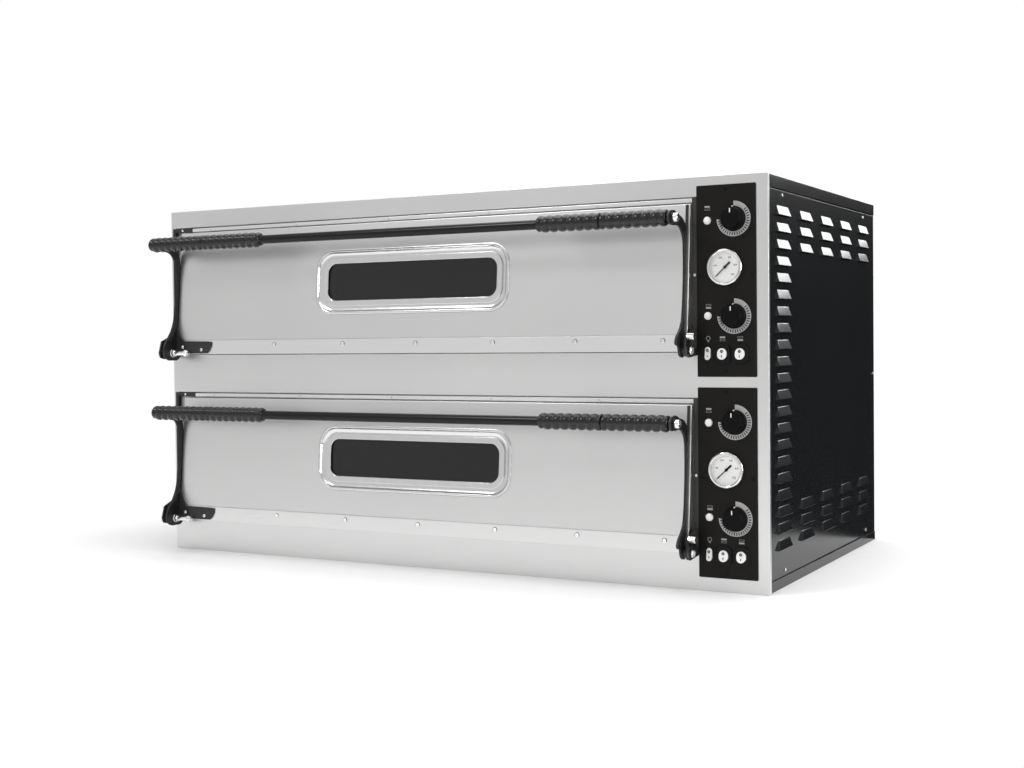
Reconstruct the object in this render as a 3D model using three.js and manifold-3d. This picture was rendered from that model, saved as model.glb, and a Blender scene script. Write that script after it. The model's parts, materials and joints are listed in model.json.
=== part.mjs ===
// Countertop pizza oven with two baking decks.
// Units are millimetres. X runs along the front to the right, Y runs into the oven and Z is up.
// While it is modelled, the front sheet lies at y = 0, and "out" means a distance in front of it.
// A height inside a deck is counted from the lower edge of that deck's door opening.

import * as THREE from 'three';
import { mergeVertices } from 'three/addons/utils/BufferGeometryUtils.js';
import Module from 'manifold-3d';

const wasm = await Module();
wasm.setup();

// ---------------------------------------------------------------- driving dimensions

const GAP = 0.3;
const SHEET = 2;

const WIDTH = 1370;
const DEPTH = 755;
const HEIGHT = 745;
const HALF = WIDTH / 2;

const DECK_PITCH = 361;
const LOWER_DECK = 69;
const DECKS = [['upper', LOWER_DECK + DECK_PITCH], ['lower', LOWER_DECK]];

const OPENING = { left: -681, right: 552, height: 279 };

const SIDE_X = 679;
const RAIL_TOP = 23;
const RAIL_BASE = 19;

const CHAMBER = { left: -600, right: 480, front: 8, back: 706, floor: 48, ceiling: 238 };
const LEDGE = 12;
const STONE = { base: 70, thickness: 14 };
const ELEMENT = { radius: 4, runs: 6, pitch: 108, floorHeight: 57, ceilingHeight: 226 };

const PLATE = { left: 552, right: 663, thickness: 2, height: 342, topAbove: 298 };
const KNOB = { x: 622, drops: [61.5, 234], radius: 22, tall: 20, shaft: 3 };
const GAUGE = { x: 606, drop: 147, bezel: 33, body: 30, proud: 8 };
const LAMP = { x: 573, drops: [63, 233], radius: 7 };
const SWITCHES = [
  { name: 'light', x: 572.5, width: 10.4, height: 24, drop: 300, boot: false },
  { name: 'top_heat', x: 600, width: 17.4, height: 21, drop: 301, boot: true },
  { name: 'bottom_heat', x: 633, width: 17.4, height: 21, drop: 301, boot: true },
];

const DOOR = { left: -652, right: 541.5, bottom: 1.5, top: 266.5, outBottom: 26, outTop: 4, back: 1.5 };
const DOOR_SKIN = 1.5;
const STRIP = { top: 31, proud: 1.2 };
const WINDOW = {
  x: -53, z: 148, recess: 5, glass: [399, 76, 16], ring: [424, 102, 27], slope: 14.5, ringThickness: 3,
};

const PIVOT = { out: 40, z: 4, pin: 5, hole: 6.2 };
const BAR = { out: 85, z: 237, radius: 9 };
const ARM = 5;
const EAR = 3.3;
const LEFT_ARM = -657.5;
const RIGHT_ARM = 533.5;
const GRIP = { radius: 15.5, bore: 9.4, leftStart: -667, leftEnd: -366, rightStart: 274, rightEnd: 532 };

const LOUVRE = { length: 88, top: 62, rise: 17, proud: 5.5, rows: 21, rowPitch: 30.2, firstRow: 71 };
const LOUVRE_COLUMNS = { first: 97, pitch: 139.5, count: 5, fullRows: 3 };

const GLAND = { x: 600, z: 90, hole: 12.5, thread: 12, flange: 17, length: 20, bore: 7 };

// ---------------------------------------------------------------- materials

const COLOURS = {
  steel: [0xcbcbc9, 0.35, 1.0],
  bright: [0xe4e4e4, 0.12, 1.0],
  blackPaint: [0x202024, 0.4, 0.2],
  blackPlate: [0x1e1d1a, 0.6, 0.0],
  blackGloss: [0x0c0c0e, 0.2, 0.0],
  galvanised: [0x9ea3a6, 0.5, 0.9],
  stone: [0xc9b490, 0.9, 0.0],
  wool: [0xd9d2b4, 1.0, 0.0],
  element: [0x4b4a48, 0.5, 0.8],
  white: [0xf4f4f0, 0.4, 0.0],
  glass: [0x2a2a2b, 0.08, 0.0],
};

function finish(name) {
  const [color, roughness, metalness] = COLOURS[name];
  return new THREE.MeshStandardMaterial({ color, roughness, metalness });
}

// ---------------------------------------------------------------- solids

function signedVolume(position, index) {
  const a = new THREE.Vector3();
  const b = new THREE.Vector3();
  const c = new THREE.Vector3();
  let volume = 0;
  for (let i = 0; i < index.length; i += 3) {
    a.fromBufferAttribute(position, index[i]);
    b.fromBufferAttribute(position, index[i + 1]);
    c.fromBufferAttribute(position, index[i + 2]);
    volume += a.dot(b.cross(c)) / 6;
  }
  return volume;
}

function keepWholeTriangles(index) {
  const kept = [];
  for (let i = 0; i < index.length; i += 3) {
    const [a, b, c] = [index[i], index[i + 1], index[i + 2]];
    if (a !== b && b !== c && c !== a) kept.push(a, b, c);
  }
  return kept;
}

// Turns a closed geometry into a solid, with its faces outwards.
function solid(geometry) {
  const bare = geometry.clone();
  bare.deleteAttribute('normal');
  bare.deleteAttribute('uv');
  const merged = mergeVertices(bare, 1e-4);
  const triangles = keepWholeTriangles(Array.from(merged.index.array));
  if (signedVolume(merged.attributes.position, triangles) < 0) triangles.reverse();
  const mesh = new wasm.Mesh({
    numProp: 3,
    vertProperties: Float32Array.from(merged.attributes.position.array),
    triVerts: Uint32Array.from(triangles),
  });
  mesh.merge();
  return new wasm.Manifold(mesh);
}

function geometryOf(manifold) {
  const mesh = manifold.getMesh();
  const geometry = new THREE.BufferGeometry();
  geometry.setAttribute('position', new THREE.BufferAttribute(mesh.vertProperties, 3));
  geometry.setIndex(new THREE.BufferAttribute(mesh.triVerts, 1));
  geometry.computeVertexNormals();
  return geometry;
}

function joined(solids) {
  return solids.reduce((sum, next) => sum.add(next));
}

function box(x0, x1, y0, y1, z0, z1) {
  const geometry = new THREE.BoxGeometry(x1 - x0, y1 - y0, z1 - z0);
  geometry.translate((x0 + x1) / 2, (y0 + y1) / 2, (z0 + z1) / 2);
  return solid(geometry);
}

const AXIS_X = new THREE.Vector3(1, 0, 0);
const AXIS_Y = new THREE.Vector3(0, 1, 0);
const AXIS_Z = new THREE.Vector3(0, 0, 1);

// Extrudes an outline drawn in y and z along X.
function prismX(shape, x0, x1, curveSegments = 4) {
  const geometry = new THREE.ExtrudeGeometry(shape, { depth: x1 - x0, bevelEnabled: false, curveSegments });
  geometry.applyMatrix4(new THREE.Matrix4().makeBasis(AXIS_Y, AXIS_Z, AXIS_X));
  geometry.translate(x0, 0, 0);
  return solid(geometry);
}

// Extrudes an outline drawn in x and z along Y.
function prismY(shape, y0, y1, curveSegments = 4) {
  const geometry = new THREE.ExtrudeGeometry(shape, { depth: y1 - y0, bevelEnabled: false, curveSegments });
  geometry.applyMatrix4(new THREE.Matrix4().makeBasis(AXIS_X, AXIS_Z, AXIS_Y.clone().negate()));
  geometry.translate(0, y1, 0);
  return solid(geometry);
}

// A round bar along X.
function roundX(radius, x0, x1, y, z, sides = 14) {
  const geometry = new THREE.CylinderGeometry(radius, radius, x1 - x0, sides);
  geometry.rotateZ(Math.PI / 2);
  geometry.translate((x0 + x1) / 2, y, z);
  return solid(geometry);
}

// Turns a profile of [radius, out] points about a line along Y through x and z.
function turned(profile, x, z, sides = 18) {
  const points = profile.map(([radius, out]) => new THREE.Vector2(radius, out));
  const geometry = new THREE.LatheGeometry(points, sides);
  geometry.rotateX(Math.PI);
  geometry.translate(x, 0, z);
  return solid(geometry);
}

// Turns a profile of [radius, x] points about a line along X through y and z.
function turnedX(profile, y, z, sides = 12) {
  const points = profile.map(([radius, x]) => new THREE.Vector2(radius, x));
  const geometry = new THREE.LatheGeometry(points, sides);
  geometry.rotateZ(-Math.PI / 2);
  geometry.translate(0, y, z);
  return solid(geometry);
}

function polygon(points) {
  return new THREE.Shape(points.map(([a, b]) => new THREE.Vector2(a, b)));
}

function roundedRect(x, z, width, height, radius) {
  const [l, r, b, t] = [x - width / 2, x + width / 2, z - height / 2, z + height / 2];
  const shape = new THREE.Shape();
  shape.moveTo(l + radius, b);
  shape.lineTo(r - radius, b);
  shape.absarc(r - radius, b + radius, radius, -Math.PI / 2, 0, false);
  shape.lineTo(r, t - radius);
  shape.absarc(r - radius, t - radius, radius, 0, Math.PI / 2, false);
  shape.lineTo(l + radius, t);
  shape.absarc(l + radius, t - radius, radius, Math.PI / 2, Math.PI, false);
  shape.lineTo(l, b + radius);
  shape.absarc(l + radius, b + radius, radius, Math.PI, Math.PI * 1.5, false);
  return shape;
}

const oven = new THREE.Group();

function place(name, shape, colour, parent = oven) {
  const mesh = new THREE.Mesh(geometryOf(shape), finish(colour));
  mesh.name = name;
  parent.add(mesh);
  return mesh;
}

// ---------------------------------------------------------------- cabinet

function frontFascia() {
  const returnDepth = 8;
  let sheet = box(-HALF, HALF, 0, SHEET, 0, HEIGHT);
  sheet = sheet.add(box(-HALF, -HALF + SHEET, 0, returnDepth, 0, HEIGHT));
  sheet = sheet.add(box(HALF - SHEET, HALF, 0, returnDepth, 0, HEIGHT));
  for (const [, base] of DECKS) {
    const top = base + PLATE.topAbove;
    const margin = 8;
    sheet = sheet.subtract(box(OPENING.left, OPENING.right, -1, SHEET + 1, base, base + OPENING.height));
    sheet = sheet.subtract(box(
      PLATE.left + margin,
      PLATE.right - margin,
      -1,
      SHEET + 1,
      top - PLATE.height + margin,
      top - margin,
    ));
  }
  return sheet;
}

// A tray with an upstand on its two sides and its back, open towards the front.
// The lid is the same tray upside down.
function tray(z0, z1, flatAtTop) {
  const x = SIDE_X + 1;
  const [y0, y1] = [SHEET + GAP, DEPTH - 2];
  const [inside0, inside1] = flatAtTop ? [z0 - 1, z1 - SHEET] : [z0 + SHEET, z1 + 1];
  const hollow = box(-x + SHEET, x - SHEET, y0 - 1, y1 - SHEET, inside0, inside1);
  return box(-x, x, y0, y1, z0, z1).subtract(hollow);
}

function rearPanel() {
  const slot = { x: 600, length: 90, height: 5, pitch: 14, count: 8, first: 560 };
  const [y0, y1] = [DEPTH - 5.3, DEPTH - 3.3];
  let panel = box(-SIDE_X, SIDE_X, y0, y1, RAIL_BASE + GAP, HEIGHT - RAIL_TOP - GAP);
  for (let i = 0; i < slot.count; i += 1) {
    const z = slot.first + i * slot.pitch;
    panel = panel.subtract(prismY(roundedRect(slot.x, z, slot.length, slot.height, 2.4), y0 - 1, y1 + 1, 1));
  }
  return panel.subtract(turned([[0, -y1 - 1], [GLAND.hole, -y1 - 1], [GLAND.hole, -y0 + 1], [0, -y0 + 1]],
    GLAND.x, GLAND.z, 16));
}

function cableGland() {
  const inside = DEPTH - 15;
  const sheetFace = DEPTH - 3.3 + GAP;
  return turned([
    [GLAND.bore, -inside],
    [GLAND.thread, -inside],
    [GLAND.thread, -sheetFace],
    [GLAND.flange, -sheetFace],
    [GLAND.flange, -sheetFace - 8],
    [14, -sheetFace - 11],
    [11, -sheetFace - GLAND.length],
    [GLAND.bore, -sheetFace - GLAND.length],
    [GLAND.bore, -inside],
  ], GLAND.x, GLAND.z, 12);
}

// One hood of the side louvres, drawn on the right-hand side.
// It is wide at the bottom and closed at its top and ends.
function louvreHood(y, z) {
  const [half, halfTop] = [LOUVRE.length / 2, LOUVRE.top / 2];
  const inset = 4;
  const outline = polygon([[-half, 0], [half, 0], [halfTop, LOUVRE.rise], [-halfTop, LOUVRE.rise]]);
  const geometry = new THREE.ExtrudeGeometry(outline, { depth: LOUVRE.proud + 1, bevelEnabled: false });
  const position = geometry.attributes.position;
  for (let i = 0; i < position.count; i += 1) {
    if (position.getZ(i) < LOUVRE.proud) continue;
    const atTop = position.getY(i) > 1;
    position.setX(i, position.getX(i) - Math.sign(position.getX(i)) * inset);
    if (atTop) position.setY(i, position.getY(i) - LOUVRE.rise * 0.55);
    if (atTop) position.setX(i, Math.sign(position.getX(i)) * (half - inset * 2.6));
  }
  geometry.applyMatrix4(new THREE.Matrix4().makeBasis(AXIS_Y, AXIS_Z, AXIS_X));
  geometry.translate(SIDE_X - 1, y, z);
  return solid(geometry);
}

function sidePanel(side) {
  let panel = box(SIDE_X - SHEET, SIDE_X, 4, DEPTH - 5.6, RAIL_BASE + 0.5, HEIGHT - RAIL_TOP - GAP);
  const hoods = [];
  for (let column = 0; column < LOUVRE_COLUMNS.count; column += 1) {
    for (let row = 0; row < LOUVRE.rows; row += 1) {
      const nearEnd = row < LOUVRE_COLUMNS.fullRows || row >= LOUVRE.rows - LOUVRE_COLUMNS.fullRows;
      if (column > 0 && !nearEnd) continue;
      const y = LOUVRE_COLUMNS.first + column * LOUVRE_COLUMNS.pitch;
      hoods.push(louvreHood(y, LOUVRE.firstRow + row * LOUVRE.rowPitch));
    }
  }
  panel = panel.add(joined(hoods));
  return side < 0 ? panel.mirror([1, 0, 0]) : panel;
}

// ---------------------------------------------------------------- baking chambers

function chamber(base) {
  const { left, right, front, back } = CHAMBER;
  const [floor, ceiling] = [base + CHAMBER.floor, base + CHAMBER.ceiling];
  const overlap = 5;
  const [frameLeft, frameRight] = [OPENING.left + overlap, OPENING.right + overlap];
  const frame = box(frameLeft, frameRight, front, front + SHEET, base - 8, base + OPENING.height + 8);
  const shell = box(left - SHEET, right + SHEET, front, back + SHEET, floor - SHEET, ceiling + SHEET);
  const inside = box(left, right, front - 1, back, floor, ceiling);
  const ledgeTop = base + STONE.base - GAP;
  const ledge = box(left - 1, right + 1, front + 4, back + 1, ledgeTop - SHEET, ledgeTop);
  const ledgeFront = front + LEDGE + 4;
  const ledgeHole = box(left + LEDGE, right - LEDGE, ledgeFront, back - LEDGE, ledgeTop - 9, ledgeTop + 9);
  return frame.add(shell).subtract(inside).add(ledge.subtract(ledgeHole));
}

function hearthStone(base, half) {
  const clearance = 3;
  const middle = (CHAMBER.left + CHAMBER.right) / 2;
  const x0 = half === 'left' ? CHAMBER.left + clearance : middle + GAP;
  const x1 = half === 'left' ? middle - GAP : CHAMBER.right - clearance;
  const z = base + STONE.base;
  return box(x0, x1, CHAMBER.front + 6, CHAMBER.back - clearance, z, z + STONE.thickness);
}

// A line through given points whose parameter steps from point to point.
class PointPath extends THREE.Curve {
  constructor(points) {
    super();
    this.points = points;
  }

  getPoint(t, target = new THREE.Vector3()) {
    const spans = this.points.length - 1;
    const at = THREE.MathUtils.clamp(t, 0, 1) * spans;
    const span = Math.min(Math.floor(at), spans - 1);
    return target.lerpVectors(this.points[span], this.points[span + 1], at - span);
  }

  getUtoTmapping(u) {
    return u;
  }
}

// A tube bent to and fro across the chamber.
function heatingElement(height) {
  const [x0, x1] = [CHAMBER.left + 40, CHAMBER.right - 40];
  const bend = ELEMENT.pitch / 2;
  const yFirst = (CHAMBER.front + CHAMBER.back) / 2 - bend * (ELEMENT.runs - 1);
  const points = [];
  for (let run = 0; run < ELEMENT.runs; run += 1) {
    const y = yFirst + run * ELEMENT.pitch;
    const forward = run % 2 === 0;
    const [start, end] = forward ? [x0 + bend, x1 - bend] : [x1 - bend, x0 + bend];
    points.push(new THREE.Vector3(start, y, height));
    points.push(new THREE.Vector3(end, y, height));
    if (run === ELEMENT.runs - 1) continue;
    const steps = 4;
    for (let i = 1; i < steps; i += 1) {
      const angle = (Math.PI * i) / steps;
      const sweep = (forward ? 1 : -1) * bend * Math.sin(angle);
      points.push(new THREE.Vector3(end + sweep, y + bend - bend * Math.cos(angle), height));
    }
  }
  const section = new THREE.Shape();
  section.absarc(0, 0, ELEMENT.radius, 0, Math.PI * 2, false);
  const tube = new THREE.ExtrudeGeometry(section, {
    steps: points.length - 1,
    extrudePath: new PointPath(points),
    curveSegments: 3,
  });
  return solid(tube);
}

function insulation() {
  let block = box(-SIDE_X + 4, 546, CHAMBER.front + 8, DEPTH - 22, 22, HEIGHT - 25);
  for (const [, base] of DECKS) {
    block = block.subtract(box(
      CHAMBER.left - SHEET - GAP,
      CHAMBER.right + SHEET + GAP,
      0,
      CHAMBER.back + SHEET + GAP,
      base + CHAMBER.floor - SHEET - GAP,
      base + CHAMBER.ceiling + SHEET + GAP,
    ));
  }
  return block;
}

// ---------------------------------------------------------------- controls

function controlPlate(base) {
  const top = base + PLATE.topAbove;
  const [y0, y1] = [-PLATE.thickness - GAP, -GAP];
  const middle = (PLATE.left + PLATE.right) / 2;
  const width = PLATE.right - PLATE.left - GAP;
  let plate = prismY(roundedRect(middle, top - PLATE.height / 2, width, PLATE.height, 2), y0, y1, 2);
  for (const control of SWITCHES.filter((item) => item.boot)) {
    plate = plate.add(prismY(roundedRect(control.x, top - control.drop, 30, 35, 8), y0 - 3, y1, 3));
  }
  for (const control of SWITCHES) {
    const hole = roundedRect(control.x, top - control.drop, control.width + 1, control.height + 2.4, 1);
    plate = plate.subtract(prismY(hole, -20, 5, 1));
  }
  for (const drop of KNOB.drops) plate = plate.subtract(drill(KNOB.x, top - drop, KNOB.shaft + 1.5));
  for (const drop of LAMP.drops) plate = plate.subtract(drill(LAMP.x, top - drop, LAMP.radius - 1.5));
  return plate.subtract(drill(GAUGE.x, top - GAUGE.drop, GAUGE.body + 0.6));
}

// A many-sided hole whose flats lie at the given radius.
function drill(x, z, radius) {
  const sides = 14;
  const corner = radius / Math.cos(Math.PI / sides);
  return turned([[0, -5], [corner, -5], [corner, 20], [0, 20]], x, z, sides);
}

function knob(z) {
  const back = PLATE.thickness + GAP + 0.5;
  const front = back + KNOB.tall;
  const body = turned([
    [0, -15],
    [KNOB.shaft, -15],
    [KNOB.shaft, back],
    [KNOB.radius, back],
    [KNOB.radius, back + 6],
    [KNOB.radius - 2.5, back + 8],
    [KNOB.radius - 3.5, front - 1.5],
    [KNOB.radius - 5, front],
    [0, front],
  ], KNOB.x, z);
  return body.add(box(KNOB.x - 1.2, KNOB.x + 1.2, -front - 0.6, -back - 1, z + 6, z + KNOB.radius - 3.6));
}

function gaugeCase(z) {
  const back = PLATE.thickness + GAP + GAP;
  const front = back + GAUGE.proud;
  return turned([
    [0, -30],
    [GAUGE.body, -30],
    [GAUGE.body, back],
    [GAUGE.bezel, back],
    [GAUGE.bezel, front - 2],
    [GAUGE.bezel - 2, front],
    [GAUGE.bezel - 4, front],
    [GAUGE.bezel - 6, front - 3],
    [GAUGE.bezel - 6, back + 1.5],
    [0, back + 1.5],
  ], GAUGE.x, z, 22);
}

// The pointer lies in front of the dial, with its long thin end to the lower left.
function gaugeNeedle(z) {
  const dial = PLATE.thickness + 2 * GAP + 1.5;
  const angle = THREE.MathUtils.degToRad(223);
  const [dx, dz] = [Math.cos(angle), Math.sin(angle)];
  const along = (reach, across) => [GAUGE.x + dx * reach - dz * across, z + dz * reach + dx * across];
  const outline = [[-13, -1.7], [0, -1.4], [24, -0.4], [24, 0.4], [0, 1.4], [-13, 1.7]];
  const blade = polygon(outline.map(([reach, across]) => along(reach, across)));
  const [back, front] = [dial + 0.4, dial + 2.2];
  const hub = turned([[0, back], [2.6, back], [2.6, front], [0, front]], GAUGE.x, z, 12);
  return prismY(blade, -dial - 1.6, -dial - 0.8, 1).add(hub);
}

function pilotLamp(z) {
  const back = PLATE.thickness + GAP + GAP;
  return turned([
    [0, -18],
    [LAMP.radius - 2, -18],
    [LAMP.radius - 2, back],
    [LAMP.radius, back],
    [LAMP.radius, back + 1.5],
    [LAMP.radius - 2, back + 3.6],
    [LAMP.radius - 4.5, back + 4.6],
    [0, back + 4.8],
  ], LAMP.x, z, 12);
}

// A rocker with two faces that meet in a shallow valley; its upper half stands out while it is off.
function rocker(control, z) {
  const out = PLATE.thickness + GAP + (control.boot ? 3 : 0.6);
  const half = control.height / 2;
  const lean = Math.tan(THREE.MathUtils.degToRad(7));
  const profile = polygon([
    [-out - 2.4 - half * lean * 2, z + half],
    [-out - 2.4, z],
    [-out - 2.4, z - half + 0.6],
    [-out + 3.5, z - half + 0.6],
    [6, z - 4],
    [6, z + 4],
    [-out + 3.5, z + half - 0.4],
  ]);
  return prismX(profile, control.x - control.width / 2, control.x + control.width / 2);
}

// ---------------------------------------------------------------- doors

const LEAN = Math.atan2(DOOR.outBottom - DOOR.outTop, DOOR.top - DOOR.bottom);

// How far the outer door face stands out at a height.
function doorOut(z) {
  return DOOR.outBottom - (z - DOOR.bottom) * Math.tan(LEAN);
}

// Carries a piece drawn upright onto the leaning door.
// Its y = 0 plane goes to the outer face, and its z = 0 line to the given height.
function onDoorFace(piece, z) {
  const matrix = new THREE.Matrix4().makeTranslation(0, -doorOut(z), z);
  matrix.multiply(new THREE.Matrix4().makeRotationX(-LEAN));
  return piece.transform(matrix.elements);
}

// A rounded block whose walls slope outwards from a given depth up to the face, and go on straight beyond it.
function slopedBlock([width, height, radius], depth, extra) {
  const shape = roundedRect(WINDOW.x, 0, width + extra, height + extra, radius + extra / 2);
  const geometry = new THREE.ExtrudeGeometry(shape, {
    depth: 20,
    bevelEnabled: true,
    bevelThickness: depth,
    bevelSize: WINDOW.slope,
    bevelSegments: 1,
    curveSegments: 4,
  });
  geometry.applyMatrix4(new THREE.Matrix4().makeBasis(AXIS_X, AXIS_Z, AXIS_Y.clone().negate()));
  return solid(geometry);
}

function windowOutline([width, height, radius], extra) {
  return roundedRect(WINDOW.x, 0, width + extra, height + extra, radius + extra / 2);
}

function doorSkin() {
  const wedge = (inset, back) => prismX(polygon([
    [-doorOut(DOOR.bottom + inset) + inset, DOOR.bottom + inset],
    [-doorOut(DOOR.top - inset) + inset, DOOR.top - inset],
    [back, DOOR.top - inset],
    [back, DOOR.bottom + inset],
  ]), DOOR.left + inset, DOOR.right - inset);
  const shell = wedge(0, DOOR.back).subtract(wedge(DOOR_SKIN, DOOR.back + 5));
  const strip = prismX(polygon([
    [-doorOut(DOOR.bottom) - STRIP.proud, DOOR.bottom],
    [-doorOut(STRIP.top) - STRIP.proud, STRIP.top],
    [-doorOut(STRIP.top) + 1, STRIP.top],
    [-doorOut(DOOR.bottom) + 1, DOOR.bottom],
  ]), DOOR.left, DOOR.right);
  const behindFace = box(-HALF, HALF, 0, 20, -HEIGHT, HEIGHT);
  const cup = slopedBlock(WINDOW.ring, WINDOW.recess + DOOR_SKIN, 2 * DOOR_SKIN).intersect(behindFace);
  const hollow = slopedBlock(WINDOW.ring, WINDOW.recess, 0);
  const hole = prismY(windowOutline(WINDOW.glass, 8), -5, 15);
  return shell.add(strip)
    .add(onDoorFace(cup, WINDOW.z))
    .subtract(onDoorFace(hollow, WINDOW.z))
    .subtract(onDoorFace(hole, WINDOW.z));
}

function windowBezel() {
  const floor = WINDOW.recess - GAP;
  const ring = prismY(windowOutline(WINDOW.ring, -1.6), floor - WINDOW.ringThickness, floor);
  return onDoorFace(ring.subtract(prismY(windowOutline(WINDOW.glass, 0), -10, 10)), WINDOW.z);
}

function windowGlass() {
  const front = WINDOW.recess + DOOR_SKIN + GAP;
  return onDoorFace(prismY(windowOutline(WINDOW.glass, 20), front, front + 4), WINDOW.z);
}

function doorLiner() {
  const [y0, y1] = [DOOR.back + GAP, DOOR.back + GAP + 2.5];
  const plate = box(DOOR.left, DOOR.right, y0, y1, DOOR.bottom, DOOR.top);
  return plate.subtract(prismY(roundedRect(WINDOW.x, WINDOW.z, 380, 66, 16), y0 - 1, y1 + 1));
}

// Side view of a door arm as [out, z] points: a shank that curves forward to the bar, over a wide hub.
const SHANK_FRONT = [[80, 226], [54, 225], [36, 219], [25, 206], [24, 160], [28, 105], [31, 78]];
const SHANK_BACK = [[8, 66], [8, 196], [12, 216], [24, 234], [50, 244], [80, 249]];
const LEFT_HUB = [[40, 55], [50, 38], [61, 25], [66, 10], [63, -3], [53, -11], [40, -12], [8, -7]];
const RIGHT_HUB = [[38, 52], [50, 38], [62, 29], [68, 13], [53, 11], [50, -3], [42, -8], [30, -7], [8, 20]];

function armPlate(hub, x0) {
  const outline = [...SHANK_FRONT, ...hub, ...SHANK_BACK].map(([out, z]) => [-out, z]);
  const eye = roundX(BAR.radius + 4, x0, x0 + ARM, -BAR.out, BAR.z);
  const hole = roundX(BAR.radius + 0.6, x0 - 1, x0 + ARM + 1, -BAR.out, BAR.z);
  return prismX(polygon(outline), x0, x0 + ARM).add(eye).subtract(hole);
}

function leftArm() {
  const plate = armPlate(LEFT_HUB, LEFT_ARM);
  const inner = LEFT_ARM + ARM;
  const flange = prismY(polygon([
    [inner - 1, 2], [inner + 88, 3], [inner + 99, 19], [inner + 99, 29], [inner + 20, 30], [inner + 9, 42],
    [inner + 3, 56], [inner - 1, 66],
  ]), -STRIP.proud - GAP - 3, -STRIP.proud - GAP);
  const pin = roundX(PIVOT.pin, LEFT_ARM - 21, inner + 46, -PIVOT.out, PIVOT.z);
  const nut = roundX(8, inner + 36, inner + 42, -PIVOT.out, PIVOT.z, 6);
  const washer = roundX(9, inner - 1, inner + 6, -PIVOT.out, PIVOT.z, 12);
  return joined([plate, onDoorFace(flange, 0), pin, nut, washer]);
}

// The space that the closed door and its strip take up, with the fitting gap around it.
function doorSpace(x0, x1) {
  const overStrip = STRIP.proud + GAP;
  const stripEnd = STRIP.top + GAP;
  const foot = DOOR.bottom - GAP;
  return prismX(polygon([
    [-doorOut(foot) - overStrip, foot],
    [-doorOut(stripEnd) - overStrip, stripEnd],
    [-doorOut(stripEnd) - GAP, stripEnd],
    [-doorOut(DOOR.top) - GAP, DOOR.top + 1],
    [20, DOOR.top + 1],
    [20, foot],
  ]), x0, x1);
}

// The right arm stands on the door face, just inside the door's edge, and a spacer keeps it off the ear.
function rightArm() {
  const outer = RIGHT_ARM + ARM;
  const earOuter = OPENING.right - 0.4;
  const earInner = earOuter - EAR;
  const plate = armPlate(RIGHT_HUB, RIGHT_ARM).subtract(doorSpace(RIGHT_ARM - 1, outer + 1));
  const spacer = roundX(8, outer - 1, earInner - GAP, -PIVOT.out, PIVOT.z, 12);
  const pin = roundX(PIVOT.pin, outer - 1, earOuter + 2.4, -PIVOT.out, PIVOT.z);
  const head = roundX(8, earOuter + 0.6, earOuter + 6.4, -PIVOT.out, PIVOT.z, 12);
  return joined([plate, spacer, pin, head]);
}

function handleBar() {
  return roundX(BAR.radius, LEFT_ARM - 5, RIGHT_ARM + ARM + 4, -BAR.out, BAR.z);
}

function gripProfile(x0, x1, boreStart) {
  const { radius } = GRIP;
  const middle = (x0 + x1) / 2;
  const start = boreStart > x0 ? [[0, boreStart], [0, x0], [radius * 0.6, x0 + 1]] : [[GRIP.bore, x0]];
  return [
    ...start,
    [radius * 0.86, x0 + 4],
    [radius, x0 + 10],
    [radius, middle - 5],
    [radius - 1.5, middle],
    [radius, middle + 5],
    [radius, x1 - 9],
    [radius * 0.86, x1 - 3],
    [GRIP.bore, x1],
    [GRIP.bore, Math.max(boreStart, x0)],
    start[0],
  ];
}

function leftGrip() {
  const grip = turnedX(gripProfile(GRIP.leftStart, GRIP.leftEnd, LEFT_ARM - 6), -BAR.out, BAR.z);
  const [x0, x1] = [LEFT_ARM - 0.4, LEFT_ARM + ARM + 0.4];
  const eye = roundX(BAR.radius + 4.5, x0, x1, -BAR.out, BAR.z);
  const slot = box(x0, x1, -BAR.out, 0, BAR.z - 20, BAR.z + BAR.radius + 4.5);
  return grip.subtract(eye).subtract(slot);
}

function rightGrip() {
  return turnedX(gripProfile(GRIP.rightStart, GRIP.rightEnd, GRIP.rightStart), -BAR.out, BAR.z);
}

// ---------------------------------------------------------------- hinge brackets on the cabinet

const RAIL = { front: 0.3, back: 3.3, width: 8.7 };

// The ear that carries the door's pivot, from inside the opening out past the front sheet.
function hingeEar(x0, x1) {
  const ear = prismX(polygon([
    [RAIL.back, 0.6],
    [-0.6, 0.6],
    [-0.6, -5],
    [-42, -9],
    [-54, -6],
    [-58, 4],
    [-50, 30],
    [-20, 42],
    [RAIL.back, 42],
  ]), x0, x1);
  return ear.subtract(roundX(PIVOT.hole, x0 - 1, x1 + 1, -PIVOT.out, PIVOT.z));
}

function leftBracket() {
  const [x0, x1] = [OPENING.left + 0.4, OPENING.left + RAIL.width];
  const top = OPENING.height - 1;
  const upright = box(x0, x1, RAIL.front, RAIL.back, 0.6, top);
  const cornerLeg = box(x0, OPENING.left + 56, RAIL.front, RAIL.back, top - 9, top);
  return joined([upright, cornerLeg, hingeEar(x1 - 4, x1)]);
}

function rightBracket() {
  const x1 = OPENING.right - 0.4;
  const upright = box(x1 - RAIL.width, x1, RAIL.front, RAIL.back, 0.6, OPENING.height - 1);
  const stop = roundX(6, x1 - 1, x1 + 11, -45, 29, 6);
  return joined([upright, hingeEar(x1 - EAR, x1), stop]);
}

// ---------------------------------------------------------------- assembly

place('front_fascia', frontFascia(), 'steel');
place('base_pan', tray(0, RAIL_BASE, false), 'blackPaint');
place('top_cover', tray(HEIGHT - RAIL_TOP, HEIGHT, true), 'blackPaint');
place('rear_panel', rearPanel(), 'blackPaint');
place('side_panel_left', sidePanel(-1), 'blackPaint');
place('side_panel_right', sidePanel(1), 'blackPaint');
place('insulation', insulation(), 'wool');
place('cable_gland', cableGland(), 'blackPlate');

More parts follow.
